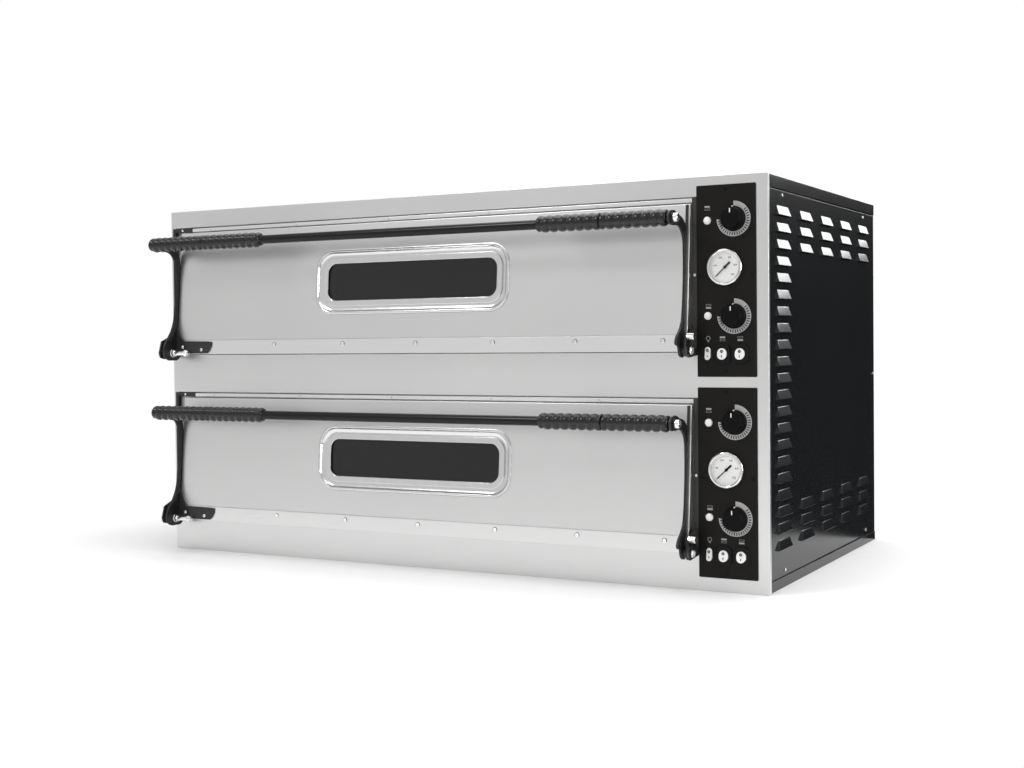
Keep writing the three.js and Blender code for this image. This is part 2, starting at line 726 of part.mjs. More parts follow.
for (const [deck, base] of DECKS) {
  const top = base + PLATE.topAbove;
  const group = new THREE.Group();
  group.position.z = base;
  oven.add(group);

  place(`chamber_${deck}`, chamber(0), 'galvanised', group);
  place(`hearth_stone_${deck}_left`, hearthStone(0, 'left'), 'stone', group);
  place(`hearth_stone_${deck}_right`, hearthStone(0, 'right'), 'stone', group);
  place(`ceiling_element_${deck}`, heatingElement(ELEMENT.ceilingHeight), 'element', group);
  place(`floor_element_${deck}`, heatingElement(ELEMENT.floorHeight), 'element', group);

  place(`control_plate_${deck}`, controlPlate(base), 'blackPlate');
  place(`gauge_case_${deck}`, gaugeCase(top - GAUGE.drop), 'bright');
  place(`gauge_needle_${deck}`, gaugeNeedle(top - GAUGE.drop), 'blackGloss');
  ['top', 'bottom'].forEach((heat, i) => {
    place(`${heat}_heat_lamp_${deck}`, pilotLamp(top - LAMP.drops[i]), 'white');
    place(`${heat}_heat_knob_${deck}`, knob(top - KNOB.drops[i]), 'blackGloss');
  });
  for (const control of SWITCHES) {
    place(`${control.name}_rocker_${deck}`, rocker(control, top - control.drop), 'white');
  }

  place(`door_skin_${deck}`, doorSkin(), 'steel', group);
  place(`door_liner_${deck}`, doorLiner(), 'galvanised', group);
  place(`window_bezel_${deck}`, windowBezel(), 'bright', group);
  place(`window_glass_${deck}`, windowGlass(), 'glass', group);
  place(`door_arm_left_${deck}`, leftArm(), 'blackPaint', group);
  place(`door_arm_right_${deck}`, rightArm(), 'blackPaint', group);
  place(`handle_bar_${deck}`, handleBar(), 'blackGloss', group);
  place(`handle_grip_left_${deck}`, leftGrip(), 'blackGloss', group);
  place(`handle_grip_right_${deck}`, rightGrip(), 'blackGloss', group);
  place(`hinge_bracket_left_${deck}`, leftBracket(), 'blackPaint', group);
  place(`hinge_bracket_right_${deck}`, rightBracket(), 'blackPaint', group);
}

// The origin lies on the base, in the middle between the grips' front and the gland's end.
const FRONT_REACH = BAR.out + GRIP.radius;
const REAR_REACH = DEPTH - 3 + GLAND.length;
oven.position.y = (FRONT_REACH - REAR_REACH) / 2;

export default oven;
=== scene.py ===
# %% [markdown]
# # A countertop pizza oven with two baking decks
# The oven is a wide box of folded sheet: a satin stainless front, a black louvred casing, two drop-down
# doors that hang between side arms, and a black control plate beside each door.
# The measured model is loaded first and stays as it is. Each cell below then gives one piece its
# finished shape or its finish, around that model and in the same places.

# %% Load the measured model
import json
from math import atan2, ceil, cos, pi, radians, sin

import bpy
from mathutils import Matrix, Vector

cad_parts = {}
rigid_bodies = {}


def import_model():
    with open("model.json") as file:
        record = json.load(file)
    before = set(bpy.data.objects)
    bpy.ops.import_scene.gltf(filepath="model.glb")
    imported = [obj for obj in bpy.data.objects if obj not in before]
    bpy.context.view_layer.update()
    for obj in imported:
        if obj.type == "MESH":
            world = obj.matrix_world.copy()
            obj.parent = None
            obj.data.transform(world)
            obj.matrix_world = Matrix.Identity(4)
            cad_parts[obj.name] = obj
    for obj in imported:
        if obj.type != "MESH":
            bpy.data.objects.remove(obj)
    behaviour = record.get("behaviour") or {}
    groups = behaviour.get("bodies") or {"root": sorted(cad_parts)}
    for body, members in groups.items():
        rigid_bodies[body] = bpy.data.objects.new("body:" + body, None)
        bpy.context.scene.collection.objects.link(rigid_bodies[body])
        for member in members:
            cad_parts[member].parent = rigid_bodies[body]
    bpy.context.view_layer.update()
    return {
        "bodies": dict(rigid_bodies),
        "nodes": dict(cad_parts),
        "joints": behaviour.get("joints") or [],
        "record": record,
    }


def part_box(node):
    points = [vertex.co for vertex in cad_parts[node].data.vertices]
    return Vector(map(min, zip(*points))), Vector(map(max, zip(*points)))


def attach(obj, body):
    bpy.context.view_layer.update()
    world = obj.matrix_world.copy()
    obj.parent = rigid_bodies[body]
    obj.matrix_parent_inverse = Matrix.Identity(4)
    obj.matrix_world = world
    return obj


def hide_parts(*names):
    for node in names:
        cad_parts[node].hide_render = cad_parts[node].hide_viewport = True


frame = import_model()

MM = 0.001
DECKS = ("upper", "lower")

# %% [markdown]
# ## The camera
# A long oven is usually shown from a little to one side, at half its height, with a mild lens.
# The camera is turned about its own line of sight by a degree, because it was held slightly askew.

# %% Place the camera
FRONT_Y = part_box("front_fascia")[0].y
CAMERA_PLACE = Vector((1462 * MM, FRONT_Y - 2365 * MM, 463 * MM))
CAMERA_YAW, CAMERA_PITCH, CAMERA_ROLL = radians(28.63), radians(-1.54), radians(0.65)

camera_data = bpy.data.cameras.new("view")
camera_data.lens = 49.1
camera_data.sensor_width = 36
camera_data.shift_y = -0.0101
camera_data.clip_end = 50
camera = bpy.data.objects.new("view", camera_data)
bpy.context.collection.objects.link(camera)
camera.location = CAMERA_PLACE
aim = Matrix.Rotation(CAMERA_YAW, 3, "Z") @ Matrix.Rotation(radians(90) + CAMERA_PITCH, 3, "X")
camera.rotation_euler = (aim @ Matrix.Rotation(-CAMERA_ROLL, 3, "Z")).to_euler()
bpy.context.scene.camera = camera
print("camera:", round(CAMERA_PLACE.length, 2), "m from the middle of the oven's foot")

# %% [markdown]
# ## Sums on a surface
# A finish is a small network of nodes. Written as sums it reads like the idea behind it, so this class
# wraps a socket and lets Python's operators add a Math node for each sum.

# %% Sockets that can be added and multiplied
class Value:
    """A socket that can stand in a Python expression."""

    def __init__(self, finish, socket):
        self.finish = finish
        self.socket = socket

    def math(self, operation, *others):
        inputs = dict(enumerate((self, *others)))
        return self.finish.add("ShaderNodeMath", {"operation": operation}, inputs)

    def reflected(self, operation, other):
        return self.finish.add("ShaderNodeMath", {"operation": operation}, {0: other, 1: self})

    def __add__(self, other):
        return self.math("ADD", other)

    def __sub__(self, other):
        return self.math("SUBTRACT", other)

    def __mul__(self, other):
        return self.math("MULTIPLY", other)

    def __truediv__(self, other):
        return self.math("DIVIDE", other)

    def __rsub__(self, other):
        return self.reflected("SUBTRACT", other)

    __radd__ = __add__
    __rmul__ = __mul__

    def above(self, limit):
        return self.math("GREATER_THAN", limit)

    def below(self, limit):
        return self.math("LESS_THAN", limit)

    def within(self, centre, half):
        return (self - centre).math("ABSOLUTE").below(half)


print("operators on a socket:", [name for name in vars(Value) if name.startswith("__r")])

# %% [markdown]
# ## A way to write finishes
# A finish is one material around one Principled shader. This class adds the nodes that every finish
# here is made of: the noise, the mixing of two colours, the small bumps and the worn outer edges.
# Patterns are measured on Object coordinates, so they stay in place however long a piece is.

# %% A material with its sockets filled by name
class Finish:
    """A material with a Principled shader whose sockets are filled by name."""

    def __init__(self, name):
        self.material = bpy.data.materials.new(name)
        self.material.use_nodes = True
        self.tree = self.material.node_tree
        self.tree.nodes.clear()
        self.shader = self.tree.nodes.new("ShaderNodeBsdfPrincipled")
        output = self.tree.nodes.new("ShaderNodeOutputMaterial")
        self.tree.links.new(self.shader.outputs[0], output.inputs[0])
        self.place = self.add("ShaderNodeTexCoord", output="Object")

    def add(self, kind, settings=None, inputs=None, output=0):
        node = self.tree.nodes.new(kind)
        for key, value in (settings or {}).items():
            if key == "stops":
                self.set_stops(node.color_ramp, value)
            else:
                setattr(node, key, value)
        self.fill(node, inputs or {})
        return Value(self, node.outputs[output])

    def set_stops(self, ramp, stops):
        for element, (position, colour) in zip(ramp.elements, stops):
            element.position = position
            element.color = (*colour, 1)
        for position, colour in stops[2:]:
            ramp.elements.new(position).color = (*colour, 1)

    def fill(self, node, inputs):
        for key, value in inputs.items():
            socket = node.inputs[key]
            if isinstance(value, Value):
                self.tree.links.new(value.socket, socket)
            else:
                socket.default_value = value

    def set(self, **inputs):
        self.fill(self.shader, {key.replace("_", " "): value for key, value in inputs.items()})
        return self

    def axes(self):
        return [self.add("ShaderNodeSeparateXYZ", None, {0: self.place}, axis) for axis in "XYZ"]

    def noise(self, scale, detail=2, stretch=(1, 1, 1)):
        place = self.add("ShaderNodeMapping", None, {"Vector": self.place, "Scale": stretch})
        return self.add("ShaderNodeTexNoise", None, {"Vector": place, "Scale": scale, "Detail": detail})

    def mix(self, factor, first, second):
        """Colours: the first one where the factor is 0 and the second one where it is 1."""
        inputs = {"Factor": factor, "A": (*first, 1) if isinstance(first, tuple) else first}
        inputs["B"] = (*second, 1) if isinstance(second, tuple) else second
        node = self.tree.nodes.new("ShaderNodeMix")
        node.data_type = "RGBA"
        for key, value in inputs.items():
            socket = next(s for s in node.inputs if s.name == key and (key == "Factor" or s.type == "RGBA"))
            if isinstance(value, Value):
                self.tree.links.new(value.socket, socket)
            else:
                socket.default_value = value
        return Value(self, next(s for s in node.outputs if s.type == "RGBA"))

    def bump(self, height, strength, distance):
        inputs = {"Height": height, "Strength": strength, "Distance": distance}
        return self.add("ShaderNodeBump", None, inputs)

    def edges(self, low=0.51, high=0.6):
        """1 on the worn outer edges of a shape, 0 elsewhere."""
        point = self.add("ShaderNodeNewGeometry", output="Pointiness")
        return self.add("ShaderNodeMapRange", None, {0: point, 1: low, 2: high})


def grey(level, warmth=0.0):
    return (level * (1 + warmth), level, level * (1 - warmth))


print("a warm grey:", grey(0.5, 0.02))

# %% [markdown]
# ## The metals
# The front is stainless sheet with a fine satin: very faint lines run along the sheet, and the gloss
# changes a little from place to place. Polished rings and bolts are the same metal without
# the lines. Aluminised sheet inside has a soft crystalline mottle.

# %% Stainless, polished and aluminised sheet
def satin_steel(name, level, gloss):
    finish = Finish(name)
    lines = finish.noise(1, 4, (6, 900, 900))
    cloud = finish.noise(3, 3)
    tone = finish.mix(cloud, grey(level * 0.96), grey(level * 1.03, 0.006))
    finish.set(Base_Color=tone, Metallic=1.0, Roughness=gloss + lines * 0.10 + cloud * 0.06 - 0.08)
    return finish.set(Normal=finish.bump(lines, 0.08, 0.0004)).material


def polished_steel(name, level=0.78, gloss=0.1):
    finish = Finish(name)
    cloud = finish.noise(60, 3)
    finish.set(Base_Color=finish.mix(cloud, grey(level * 0.92), grey(level)), Metallic=1.0)
    return finish.set(Roughness=gloss + cloud * 0.12, Normal=finish.bump(cloud, 0.03, 0.0003)).material


def aluminised_steel(name):
    finish = Finish(name)
    flakes = finish.add("ShaderNodeTexVoronoi", None, {"Vector": finish.place, "Scale": 140.0}, "Distance")
    cloud = finish.noise(5, 4)
    finish.set(Base_Color=finish.mix(flakes, grey(0.42), grey(0.55, -0.01)), Metallic=0.9)
    return finish.set(Roughness=0.42 + cloud * 0.2, Normal=finish.bump(flakes, 0.05, 0.0004)).material


print("ready to make satin, polished and aluminised sheet")

# %% [markdown]
# ## Black paint, black plastic
# Four blacks sit side by side, and only their gloss and their texture tell them apart: powder paint on
# the casing, a smoother and wetter paint on the arms and bars, moulded plastic on the grips and knobs,
# and the dull film of the control plate. Paint rubs thin on its outer edges, where it shows a paler tone.

# %% Paints and plastics
def black_paint(name, level, gloss, grain=900, depth=0.1, wear=0.0, tint=-0.06, mirror=0.3):
    finish = Finish(name)
    peel = finish.noise(grain, 2)
    cloud = finish.noise(6, 3)
    body = finish.mix(cloud, grey(level * 0.9, tint), grey(level * 1.15, tint))
    if wear:
        body = finish.mix(finish.edges() * wear, body, grey(0.16, 0.05))
    finish.set(Base_Color=body, Roughness=gloss + cloud * 0.08 + peel * 0.05, Specular_IOR_Level=mirror)
    return finish.set(Normal=finish.bump(peel, depth, 0.0003)).material


def pale_plastic(name, level, gloss):
    finish = Finish(name)
    cloud = finish.noise(90, 2)
    finish.set(Base_Color=finish.mix(cloud, grey(level * 0.95, 0.01), grey(level, 0.005)))
    return finish.set(Roughness=gloss + cloud * 0.1, Normal=finish.bump(cloud, 0.02, 0.0003)).material


print("ready to make black paint and pale plastic")

# %% [markdown]
# ## Glass
# The window panes are dark heat-proof glass: almost black, glossy, and only a little of the chamber
# shows through. The gauge lens is clear. Alpha carries how much shows through, so it needs no
# refraction, and faint smears change the gloss.

# %% Window and lens glass
def pane(name, level, alpha, gloss):
    finish = Finish(name)
    smear = finish.noise(14, 4, (1, 1, 3))
    finish.set(Base_Color=finish.mix(smear, grey(level * 0.8), grey(level)), Alpha=smear * 0.05 + alpha)
    return finish.set(Roughness=gloss + smear * 0.06).material


print("ready to make panes")

# %% [markdown]
# ## Stone, wool and hot wire
# The hearth is pressed refractory stone, pale and full of coarse grains, a little darker in patches
# where it has baked. The elements wear a dark oxide with a brown cast, and mineral wool is a
# yellowish, fibrous mat.

# %% Stone, wool and oxide
def hearth_stone(name):
    finish = Finish(name)
    grains = finish.noise(260, 5)
    patches = finish.noise(4, 3)
    stone = finish.mix(grains, (0.42, 0.33, 0.23), (0.70, 0.60, 0.46))
    stone = finish.mix(patches * 0.5, stone, (0.33, 0.26, 0.19))
    finish.set(Base_Color=stone, Roughness=0.85 + grains * 0.1)
    return finish.set(Normal=finish.bump(grains, 0.4, 0.0008)).material


def mineral_wool(name):
    finish = Finish(name)
    fibres = finish.noise(35, 8, (1, 1, 9))
    wool = finish.mix(fibres, (0.42, 0.36, 0.22), (0.74, 0.70, 0.55))
    finish.set(Base_Color=wool, Roughness=0.95 + fibres * 0.05)
    return finish.set(Normal=finish.bump(fibres, 0.7, 0.002)).material


def oxidised_tube(name):
    finish = Finish(name)
    scale = finish.noise(45, 5)
    oxide = finish.mix(scale, (0.035, 0.03, 0.028), (0.12, 0.095, 0.08))
    return finish.set(Base_Color=oxide, Metallic=0.5, Roughness=0.5 + scale * 0.25).material


print("ready to make stone, wool and oxide")

# %% [markdown]
# ## The finishes of this oven
# Every finish is made once here and shared by all the pieces that have it. The numbers are the tone, the
# gloss (0 is a mirror) and, for the blacks, the size and depth of the grain.

# %% Mix the finishes
STAINLESS = satin_steel("stainless front", 0.72, 0.34)
BRIGHT_STRIP = satin_steel("bright strip", 0.84, 0.3)
POLISHED = polished_steel("polished steel", 0.8)
PRESSED = polished_steel("pressed steel", 0.78, 0.14)
BRIGHT_BOLT = polished_steel("bright bolt", 0.95, 0.15)
ALUMINISED = aluminised_steel("aluminised sheet")
CASING = black_paint("casing paint", 0.009, 0.12, 1100, 0.04, tint=-0.1, mirror=0.3)
BRACKET = black_paint("bracket paint", 0.008, 0.2, 500, 0.08, wear=0.25, mirror=0.3)
BAR = black_paint("bar paint", 0.006, 0.16, 300, 0.05, mirror=0.25)
GRIP = black_paint("grip plastic", 0.005, 0.08, 200, 0.05, mirror=0.5)
KNOB = black_paint("knob plastic", 0.0015, 0.45, 1500, 0.1, mirror=0.12)
RUBBER = black_paint("switch rubber", 0.0025, 0.4, 1200, 0.12, mirror=0.2)
GLAND = black_paint("gland plastic", 0.012, 0.4, 1200, 0.1)
NEEDLE = black_paint("pointer paint", 0.004, 0.5, mirror=0.1)
INK_WHITE = pale_plastic("white print", 0.95, 0.5)
# Black print; the same black also colours the thin discs under the door strip's screws, which are painted
# shade.
INK_AND_SHADE_BLACK = black_paint("black print and painted shade", 0.006, 0.5, mirror=0.15)
WHITE_SWITCH = pale_plastic("white switch", 0.95, 0.3)
LAMP = pale_plastic("milky lens", 0.97, 0.2)
WINDOW = pane("window glass", 0.012, 0.86, 0.05)
LENS = pane("gauge lens", 0.9, 0.0, 0.02)
STONE = hearth_stone("hearth stone")
WOOL = mineral_wool("mineral wool")
OXIDE = oxidised_tube("oxidised element")
print("finishes:", len(bpy.data.materials))

# %% [markdown]
# ## A finish for every measured piece
# The record says which slot each piece takes its finish from, so the slots are matched with the
# materials once and no piece is left plain.

# %% Give the measured pieces their finishes
SLOT_FINISH = {
    "stainless_front": STAINLESS,
    "black_paint": CASING,
    "mineral_wool": WOOL,
    "gland_plastic": GLAND,
    "chamber_steel": ALUMINISED,
    "hearth_stone": STONE,
    "heating_element": OXIDE,
    "control_plate": INK_AND_SHADE_BLACK,
    "polished_steel": POLISHED,
    "lamp_lens": LAMP,
    "bracket_paint": BRACKET,
    "needle_black": NEEDLE,
    "knob_black": KNOB,
    "rocker_white": WHITE_SWITCH,
    "window_glass": WINDOW,
    "bar_black": BAR,
    "grip_plastic": GRIP,
}
SLOT_OF = {part["node"]: part["material_slot"] for part in frame["record"]["subparts"]}
BODY_OF = {node: body for body, nodes in frame["record"]["behaviour"]["bodies"].items() for node in nodes}

for node, piece in frame["nodes"].items():
    piece.data.materials.clear()
    piece.data.materials.append(SLOT_FINISH[SLOT_OF[node]])
print("measured pieces with a finish:", len(frame["nodes"]))

# %% [markdown]
# ## Working with the modelling operators
# Blender's operators act on whatever is selected, so each helper below first selects exactly what it
# means: one object, or the faces and edges that a rule picks by their place or direction. Two simple
# solids, a block and a rod, are where most pieces start.

# %% Selecting and adding
def choose(piece):
    bpy.ops.object.select_all(action="DESELECT")
    piece.select_set(True)
    bpy.context.view_layer.objects.active = piece
    return piece


def block(name, low, high):
    """A box from one corner to the other, in metres."""
    low, high = Vector(low), Vector(high)
    bpy.ops.object.select_all(action="DESELECT")
    bpy.ops.mesh.primitive_cube_add(size=1, location=(low + high) / 2, scale=high - low)
    piece = bpy.context.object
    piece.name = name
    bpy.ops.object.transform_apply(location=True, rotation=True, scale=True)
    return piece


def rod(name, radius, start, end, sides=32):
    """A round bar from one point to another, in metres."""
    start, end = Vector(start), Vector(end)
    along = end - start
    turn = Vector((0, 0, 1)).rotation_difference(along).to_euler()
    bpy.ops.object.select_all(action="DESELECT")
    bpy.ops.mesh.primitive_cylinder_add(
        vertices=sides, radius=radius, depth=along.length, location=(start + end) / 2, rotation=turn
    )
    piece = bpy.context.object
    piece.name = name
    bpy.ops.object.transform_apply(location=True, rotation=True, scale=True)
    return piece


def pick(piece, kind, rule):
    """Selects the faces, edges or vertices that the rule says yes to, and stays in edit mode."""
    choose(piece)
    bpy.ops.object.mode_set(mode="EDIT")
    bpy.ops.mesh.select_mode(type={"polygons": "FACE", "edges": "EDGE", "vertices": "VERT"}[kind])
    bpy.ops.mesh.select_all(action="DESELECT")
    bpy.ops.object.mode_set(mode="OBJECT")
    chosen = [item for item in getattr(piece.data, kind) if rule(item)]
    for item in chosen:
        item.select = True
    bpy.ops.object.mode_set(mode="EDIT")
    return len(chosen)


def done():
    bpy.ops.object.mode_set(mode="OBJECT")


print("ready to select, add a block and add a rod")

# %% [markdown]
# ## Rounding, cutting and joining
# A bevel rounds the edges of a piece, and a Boolean cuts it with another closed piece. Both are
# modifiers that are applied at once, so the next step can go on with plain faces. Joining puts several
# pieces into one object.

# %% Modifiers, cuts and copies
def add_modifier(piece, kind, **settings):
    """Adds one modifier and applies it."""
    choose(piece)
    modifier = piece.modifiers.new(kind.lower(), kind)
    for key, value in settings.items():
        setattr(modifier, key, value)
    bpy.ops.object.modifier_apply(modifier=modifier.name)
    return piece


def soften(piece, width, segments=2):
    """Rounds every edge where the faces turn by more than 30 degrees."""
    return add_modifier(
        piece, "BEVEL", width=width, segments=segments, limit_method="ANGLE", angle_limit=radians(30)
    )


def cut(piece, tool, operation="DIFFERENCE"):
    """Joins or cuts with another closed piece, which is used up."""
    add_modifier(piece, "BOOLEAN", operation=operation, object=tool, solver="EXACT")
    bpy.data.objects.remove(tool)
    return piece


def join(name, pieces):
    bpy.ops.object.select_all(action="DESELECT")
    for piece in pieces:
        piece.select_set(True)
    bpy.context.view_layer.objects.active = pieces[0]
    if len(pieces) > 1:
        bpy.ops.object.join()
    pieces[0].name = name
    return pieces[0]


def copy_of(piece, name, move=(0, 0, 0)):
    """A copy with its own mesh, moved by a vector in metres."""
    copy = bpy.data.objects.new(name, piece.data.copy())
    bpy.context.collection.objects.link(copy)
    copy.data.transform(Matrix.Translation(Vector(move)))
    return copy


print("ready to round, cut, join and copy")

# %% [markdown]
# ## Finishing a piece
# A finished piece gets its material and smooth shading, it rides on its body, and the measured piece it
# stands in for is hidden. The Weighted Normal modifier keeps wide flat sheets flat to the eye beside their
# narrow rounded edges. Where the measured shape is already right, a copy is enough: its flat triangles are
# merged first and its edges are rounded then.

# %% Settle and round off
def settle(piece, body, slot, material, *nodes, angle=35):
    """Finishes a piece: its place goes into its mesh, and it rides on its body."""
    choose(piece)
    bpy.ops.object.transform_apply(location=True, rotation=True, scale=True)
    piece.data.materials.clear()
    piece.data.materials.append(material)
    bpy.ops.object.shade_smooth_by_angle(angle=radians(angle))
    add_modifier(piece, "WEIGHTED_NORMAL", keep_sharp=True)
    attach(piece, body)
    if nodes:
        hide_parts(*nodes)
    print(piece.name, "on", body, len(piece.data.polygons), "faces")
    return piece


def merged_copy(node, name):
    """A copy of a measured piece with its loose triangles merged into whole flat faces."""
    piece = copy_of(frame["nodes"][node], name)
    pick(piece, "polygons", lambda face: True)
    bpy.ops.mesh.remove_doubles(threshold=0.01 * MM)
    bpy.ops.mesh.dissolve_limited(angle_limit=radians(0.5))
    done()
    return piece


def round_off(node, width, segments=2):
    """Stands a copy with rounded edges in for a measured piece."""
    piece = soften(merged_copy(node, node + ".finished"), width * MM, segments)
    return settle(piece, BODY_OF[node], SLOT_OF[node], SLOT_FINISH[SLOT_OF[node]], node)


# %% [markdown]
# ## Sheet and castings that only need their edges rounded
# Folded sheet never ends in a razor edge: the fold has a radius and catches a line of light. The
# measured shape is right for these pieces, so each is copied and a bevel rounds it. The wool gets a
# wide, coarse bevel because it has no sharp edges at all.

# %% Round the edges of the plain pieces
EDGE_ROUNDING = {"front_fascia": 1.2, "base_pan": 1.0, "top_cover": 1.0, "insulation": 5.0}
for node, width in EDGE_ROUNDING.items():
    round_off(node, width, 2 if node == "insulation" else 3)
for deck in DECKS:
    for side in ("left", "right"):
        round_off(f"hearth_stone_{deck}_{side}", 2.0, 2)
    round_off(f"chamber_{deck}", 0.6)
    round_off(f"door_liner_{deck}", 0.8)

# %% [markdown]
# ## Measuring from the front sheet
# A maker reads this oven from its front sheet: so far across from the middle, so deep behind the sheet,
# so high. One function turns such a place, in millimetres, into Blender's metres.

# %% Places in the oven's own measure
DECK_BASES = {"upper": 430, "lower": 69}


def at(across, depth, height):
    return Vector((across * MM, FRONT_Y + depth * MM, height * MM))


def deck_base(deck):
    """The lower edge of a deck's door opening, in millimetres."""
    return DECK_BASES[deck]


def move_picked(across, depth, height):
    bpy.ops.transform.translate(value=(across * MM, depth * MM, height * MM))


def mirrored(piece, name):
    copy = copy_of(piece, name)
    pick(copy, "polygons", lambda face: True)
    bpy.ops.transform.resize(value=(-1, 1, 1), center_override=(0, 0, 0))
    bpy.ops.mesh.normals_make_consistent(inside=False)
    done()
    return copy


print("lower edges of the door openings, in millimetres:", DECK_BASES)

# %% [markdown]
# ## One louvre, pressed many times
# A louvre is slit along its lower edge and pushed out by a press, so it is closed at the top and at both
# ends and open underneath. It starts as a block: the top is pulled narrow and back towards the sheet.
# A slightly smaller block with the same slope is the hollow inside it.

# %% Shape the louvre and its hollow
SIDE_FACE, SIDE_BACK = 679, 677


def louvre(name, half, half_top, proud, rise, sheet, drop):
    """A sloped block on the side sheet: wide at its open foot, narrow and flush at its top."""
    piece = block(name, at(sheet, -half, drop), at(SIDE_FACE + proud, half, rise))
    pick(piece, "vertices", lambda v: v.co.z > (rise - 1) * MM)
    bpy.ops.transform.resize(value=(1, half_top / half, 1), center_override=at(SIDE_FACE, 0, rise))
    done()
    pick(piece, "vertices", lambda v: v.co.z > (rise - 1) * MM and v.co.x > (SIDE_FACE + 1) * MM)
    move_picked(0.6 - proud, 0, -0.6)
    done()
    pick(piece, "vertices", lambda v: v.co.x > (SIDE_FACE + 3) * MM)
    bpy.ops.transform.resize(value=(1, 1 - 6 / half, 1), center_override=at(SIDE_FACE, 0, 0))
    done()
    return piece


hood = louvre("louvre", 44, 33, 6.2, 18, 678, 0)
pick(hood, "edges", lambda e: min(hood.data.vertices[i].co.x for i in e.vertices) > (SIDE_FACE + 0.2) * MM)
bpy.ops.mesh.bevel(offset=1.6 * MM, segments=3, affect="EDGES")
done()
hollow = louvre("louvre hollow", 41, 29, 4.9, 15.5, 676, -0.6)
print("louvre:", len(hood.data.polygons), "faces; hollow:", len(hollow.data.polygons), "faces")

# %% [markdown]
# ## The casing sides
# Each side is a folded sheet between a narrow corner post and a rear flange, with a shadow gap on both
# sides of it. Its louvres stand in one full column near the front and in short columns behind it, three
# at the top and three at the bottom, where warm air leaves and cool air enters.

# %% Press the louvres into the side sheet
ROWS, ROW_PITCH, FIRST_ROW = 21, 30.2, 71
COLUMNS, COLUMN_PITCH, FIRST_COLUMN, SHORT_ROWS = 5, 139.5, 97, 3
SHEET_TOP, SHEET_BASE = 720.6, 20.6


def louvre_places():
    for column in range(COLUMNS):
        for row in range(ROWS):
            if column == 0 or row < SHORT_ROWS or row >= ROWS - SHORT_ROWS:
                behind, up = FIRST_COLUMN + column * COLUMN_PITCH, FIRST_ROW + row * ROW_PITCH
                yield Vector((0, behind * MM, up * MM))


def spread(piece, name, places):
    """One piece made of copies of another, one at each place; the pattern piece is used up."""
    rows = join(name, [copy_of(piece, name, place) for place in places])
    bpy.data.objects.remove(piece)
    return rows


def side_strip(name, start, end, face=SIDE_FACE, back=SIDE_BACK):
    """An upright strip of the side, from one depth behind the front sheet to another."""
    return block(name, at(back, start, SHEET_BASE), at(face, end, SHEET_TOP))


side_sheet = soften(side_strip("side sheet", 25.2, 733), 1.3 * MM, 3)
cut(side_sheet, spread(hood, "louvres", list(louvre_places())), "UNION")
cut(side_sheet, spread(hollow, "louvre hollows", list(louvre_places())))
corner_post = soften(side_strip("corner post", 9.2, 22.6, face=678.8), 0.8 * MM)
rear_flange = soften(side_strip("rear flange", 735, 749.2), 0.9 * MM)
backing = side_strip("side backing", 4.2, 749.2, SIDE_BACK, 676.2)
side = join("side_panel_right.finished", [side_sheet, corner_post, rear_flange, backing])
left_side = mirrored(side, "side_panel_left.finished")
for piece, node in ((side, "side_panel_right"), (left_side, "side_panel_left")):
    settle(piece, "cabinet", "black_paint", CASING, node)
print("louvres on each side:", len(list(louvre_places())))

# %% [markdown]
# ## Screws
# Every screw on the oven is a low pan head with a cross in it. One is modelled, facing the front, and
# each set of screws is made of turned and moved copies. The casing's own screws come first, and the
# back sheet they hold only needs its edges rounded.

# %% Model one screw and copy it
def pan_screw(radius, tall):
    head = rod("screw", radius * MM, (0, 0.2 * MM, 0), (0, -tall * MM, 0), 20)
    soften(head, tall * 0.55 * MM, 3)
    for long, high in ((0.62, 0.13), (0.13, 0.62)):
        low = (-long * radius * MM, -tall * 2 * MM, -high * radius * MM)
        cut(head, block("cross", low, (long * radius * MM, -tall * 0.35 * MM, high * radius * MM)))
    return head


TURN_TO = {"front": 0, "right": 90, "left": -90, "back": 180}


def screw_set(name, body, slot, material, radius, tall, facing, places):
    screw = pan_screw(radius, tall)
    screw.data.transform(Matrix.Rotation(radians(TURN_TO[facing]), 4, "Z"))
    return settle(spread(screw, name, [at(*place) for place in places]), body, slot, material)


SIDE_SCREWS = ((97, 712), (660, 711), (101, 31), (675, 31))
EDGE_SCREWS = ((16, 373), (742, 371))
for facing, sign in (("right", 1), ("left", -1)):
    places = [(sign * SIDE_FACE, depth, height) for depth, height in SIDE_SCREWS + EDGE_SCREWS]
    screw_set(f"casing_screws_{facing}", "cabinet", "polished_steel", BRIGHT_BOLT, 3.2, 1.8, facing, places)
back_places = [(x, 751.7, z) for x in (-660, 0, 660) for z in (30, 372, 712)]
screw_set("casing_screws_back", "cabinet", "polished_steel", BRIGHT_BOLT, 4, 2, "back", back_places)
round_off("rear_panel", 0.8)

# %% [markdown]
# ## Turned and rounded parts
# Knobs, lamps, gauge and gland are turned: a profile is drawn as a closed outline and spun about its
# axis. Window, boots and plate are rounded rectangles: a block whose four long edges are bevelled.

# %% Turning and rounding
def outline(name, points):
    """A closed line through points: a circle with one vertex for each, put in its place."""
    bpy.ops.object.select_all(action="DESELECT")
    bpy.ops.mesh.primitive_circle_add(vertices=len(points), radius=1)
    piece = bpy.context.object
    piece.name = name
    for vertex, point in zip(piece.data.vertices, points):
        vertex.co = point
    return piece


def turned(name, profile, across, height, steps=48):
    """A profile of (radius, out) points turned about a line that runs towards the front."""
    piece = outline(name, [at(across + radius, -out, height) for radius, out in profile])
    pick(piece, "edges", lambda edge: True)
    bpy.ops.mesh.spin(steps=steps, angle=2 * pi, center=at(across, 0, height), axis=(0, 1, 0))
    bpy.ops.mesh.select_all(action="SELECT")
    bpy.ops.mesh.remove_doubles(threshold=0.001 * MM)
    bpy.ops.mesh.delete_loose()
    bpy.ops.mesh.select_all(action="SELECT")
    bpy.ops.mesh.dissolve_degenerate(threshold=0.001 * MM)
    bpy.ops.mesh.normals_make_consistent(inside=False)
    done()
    return piece


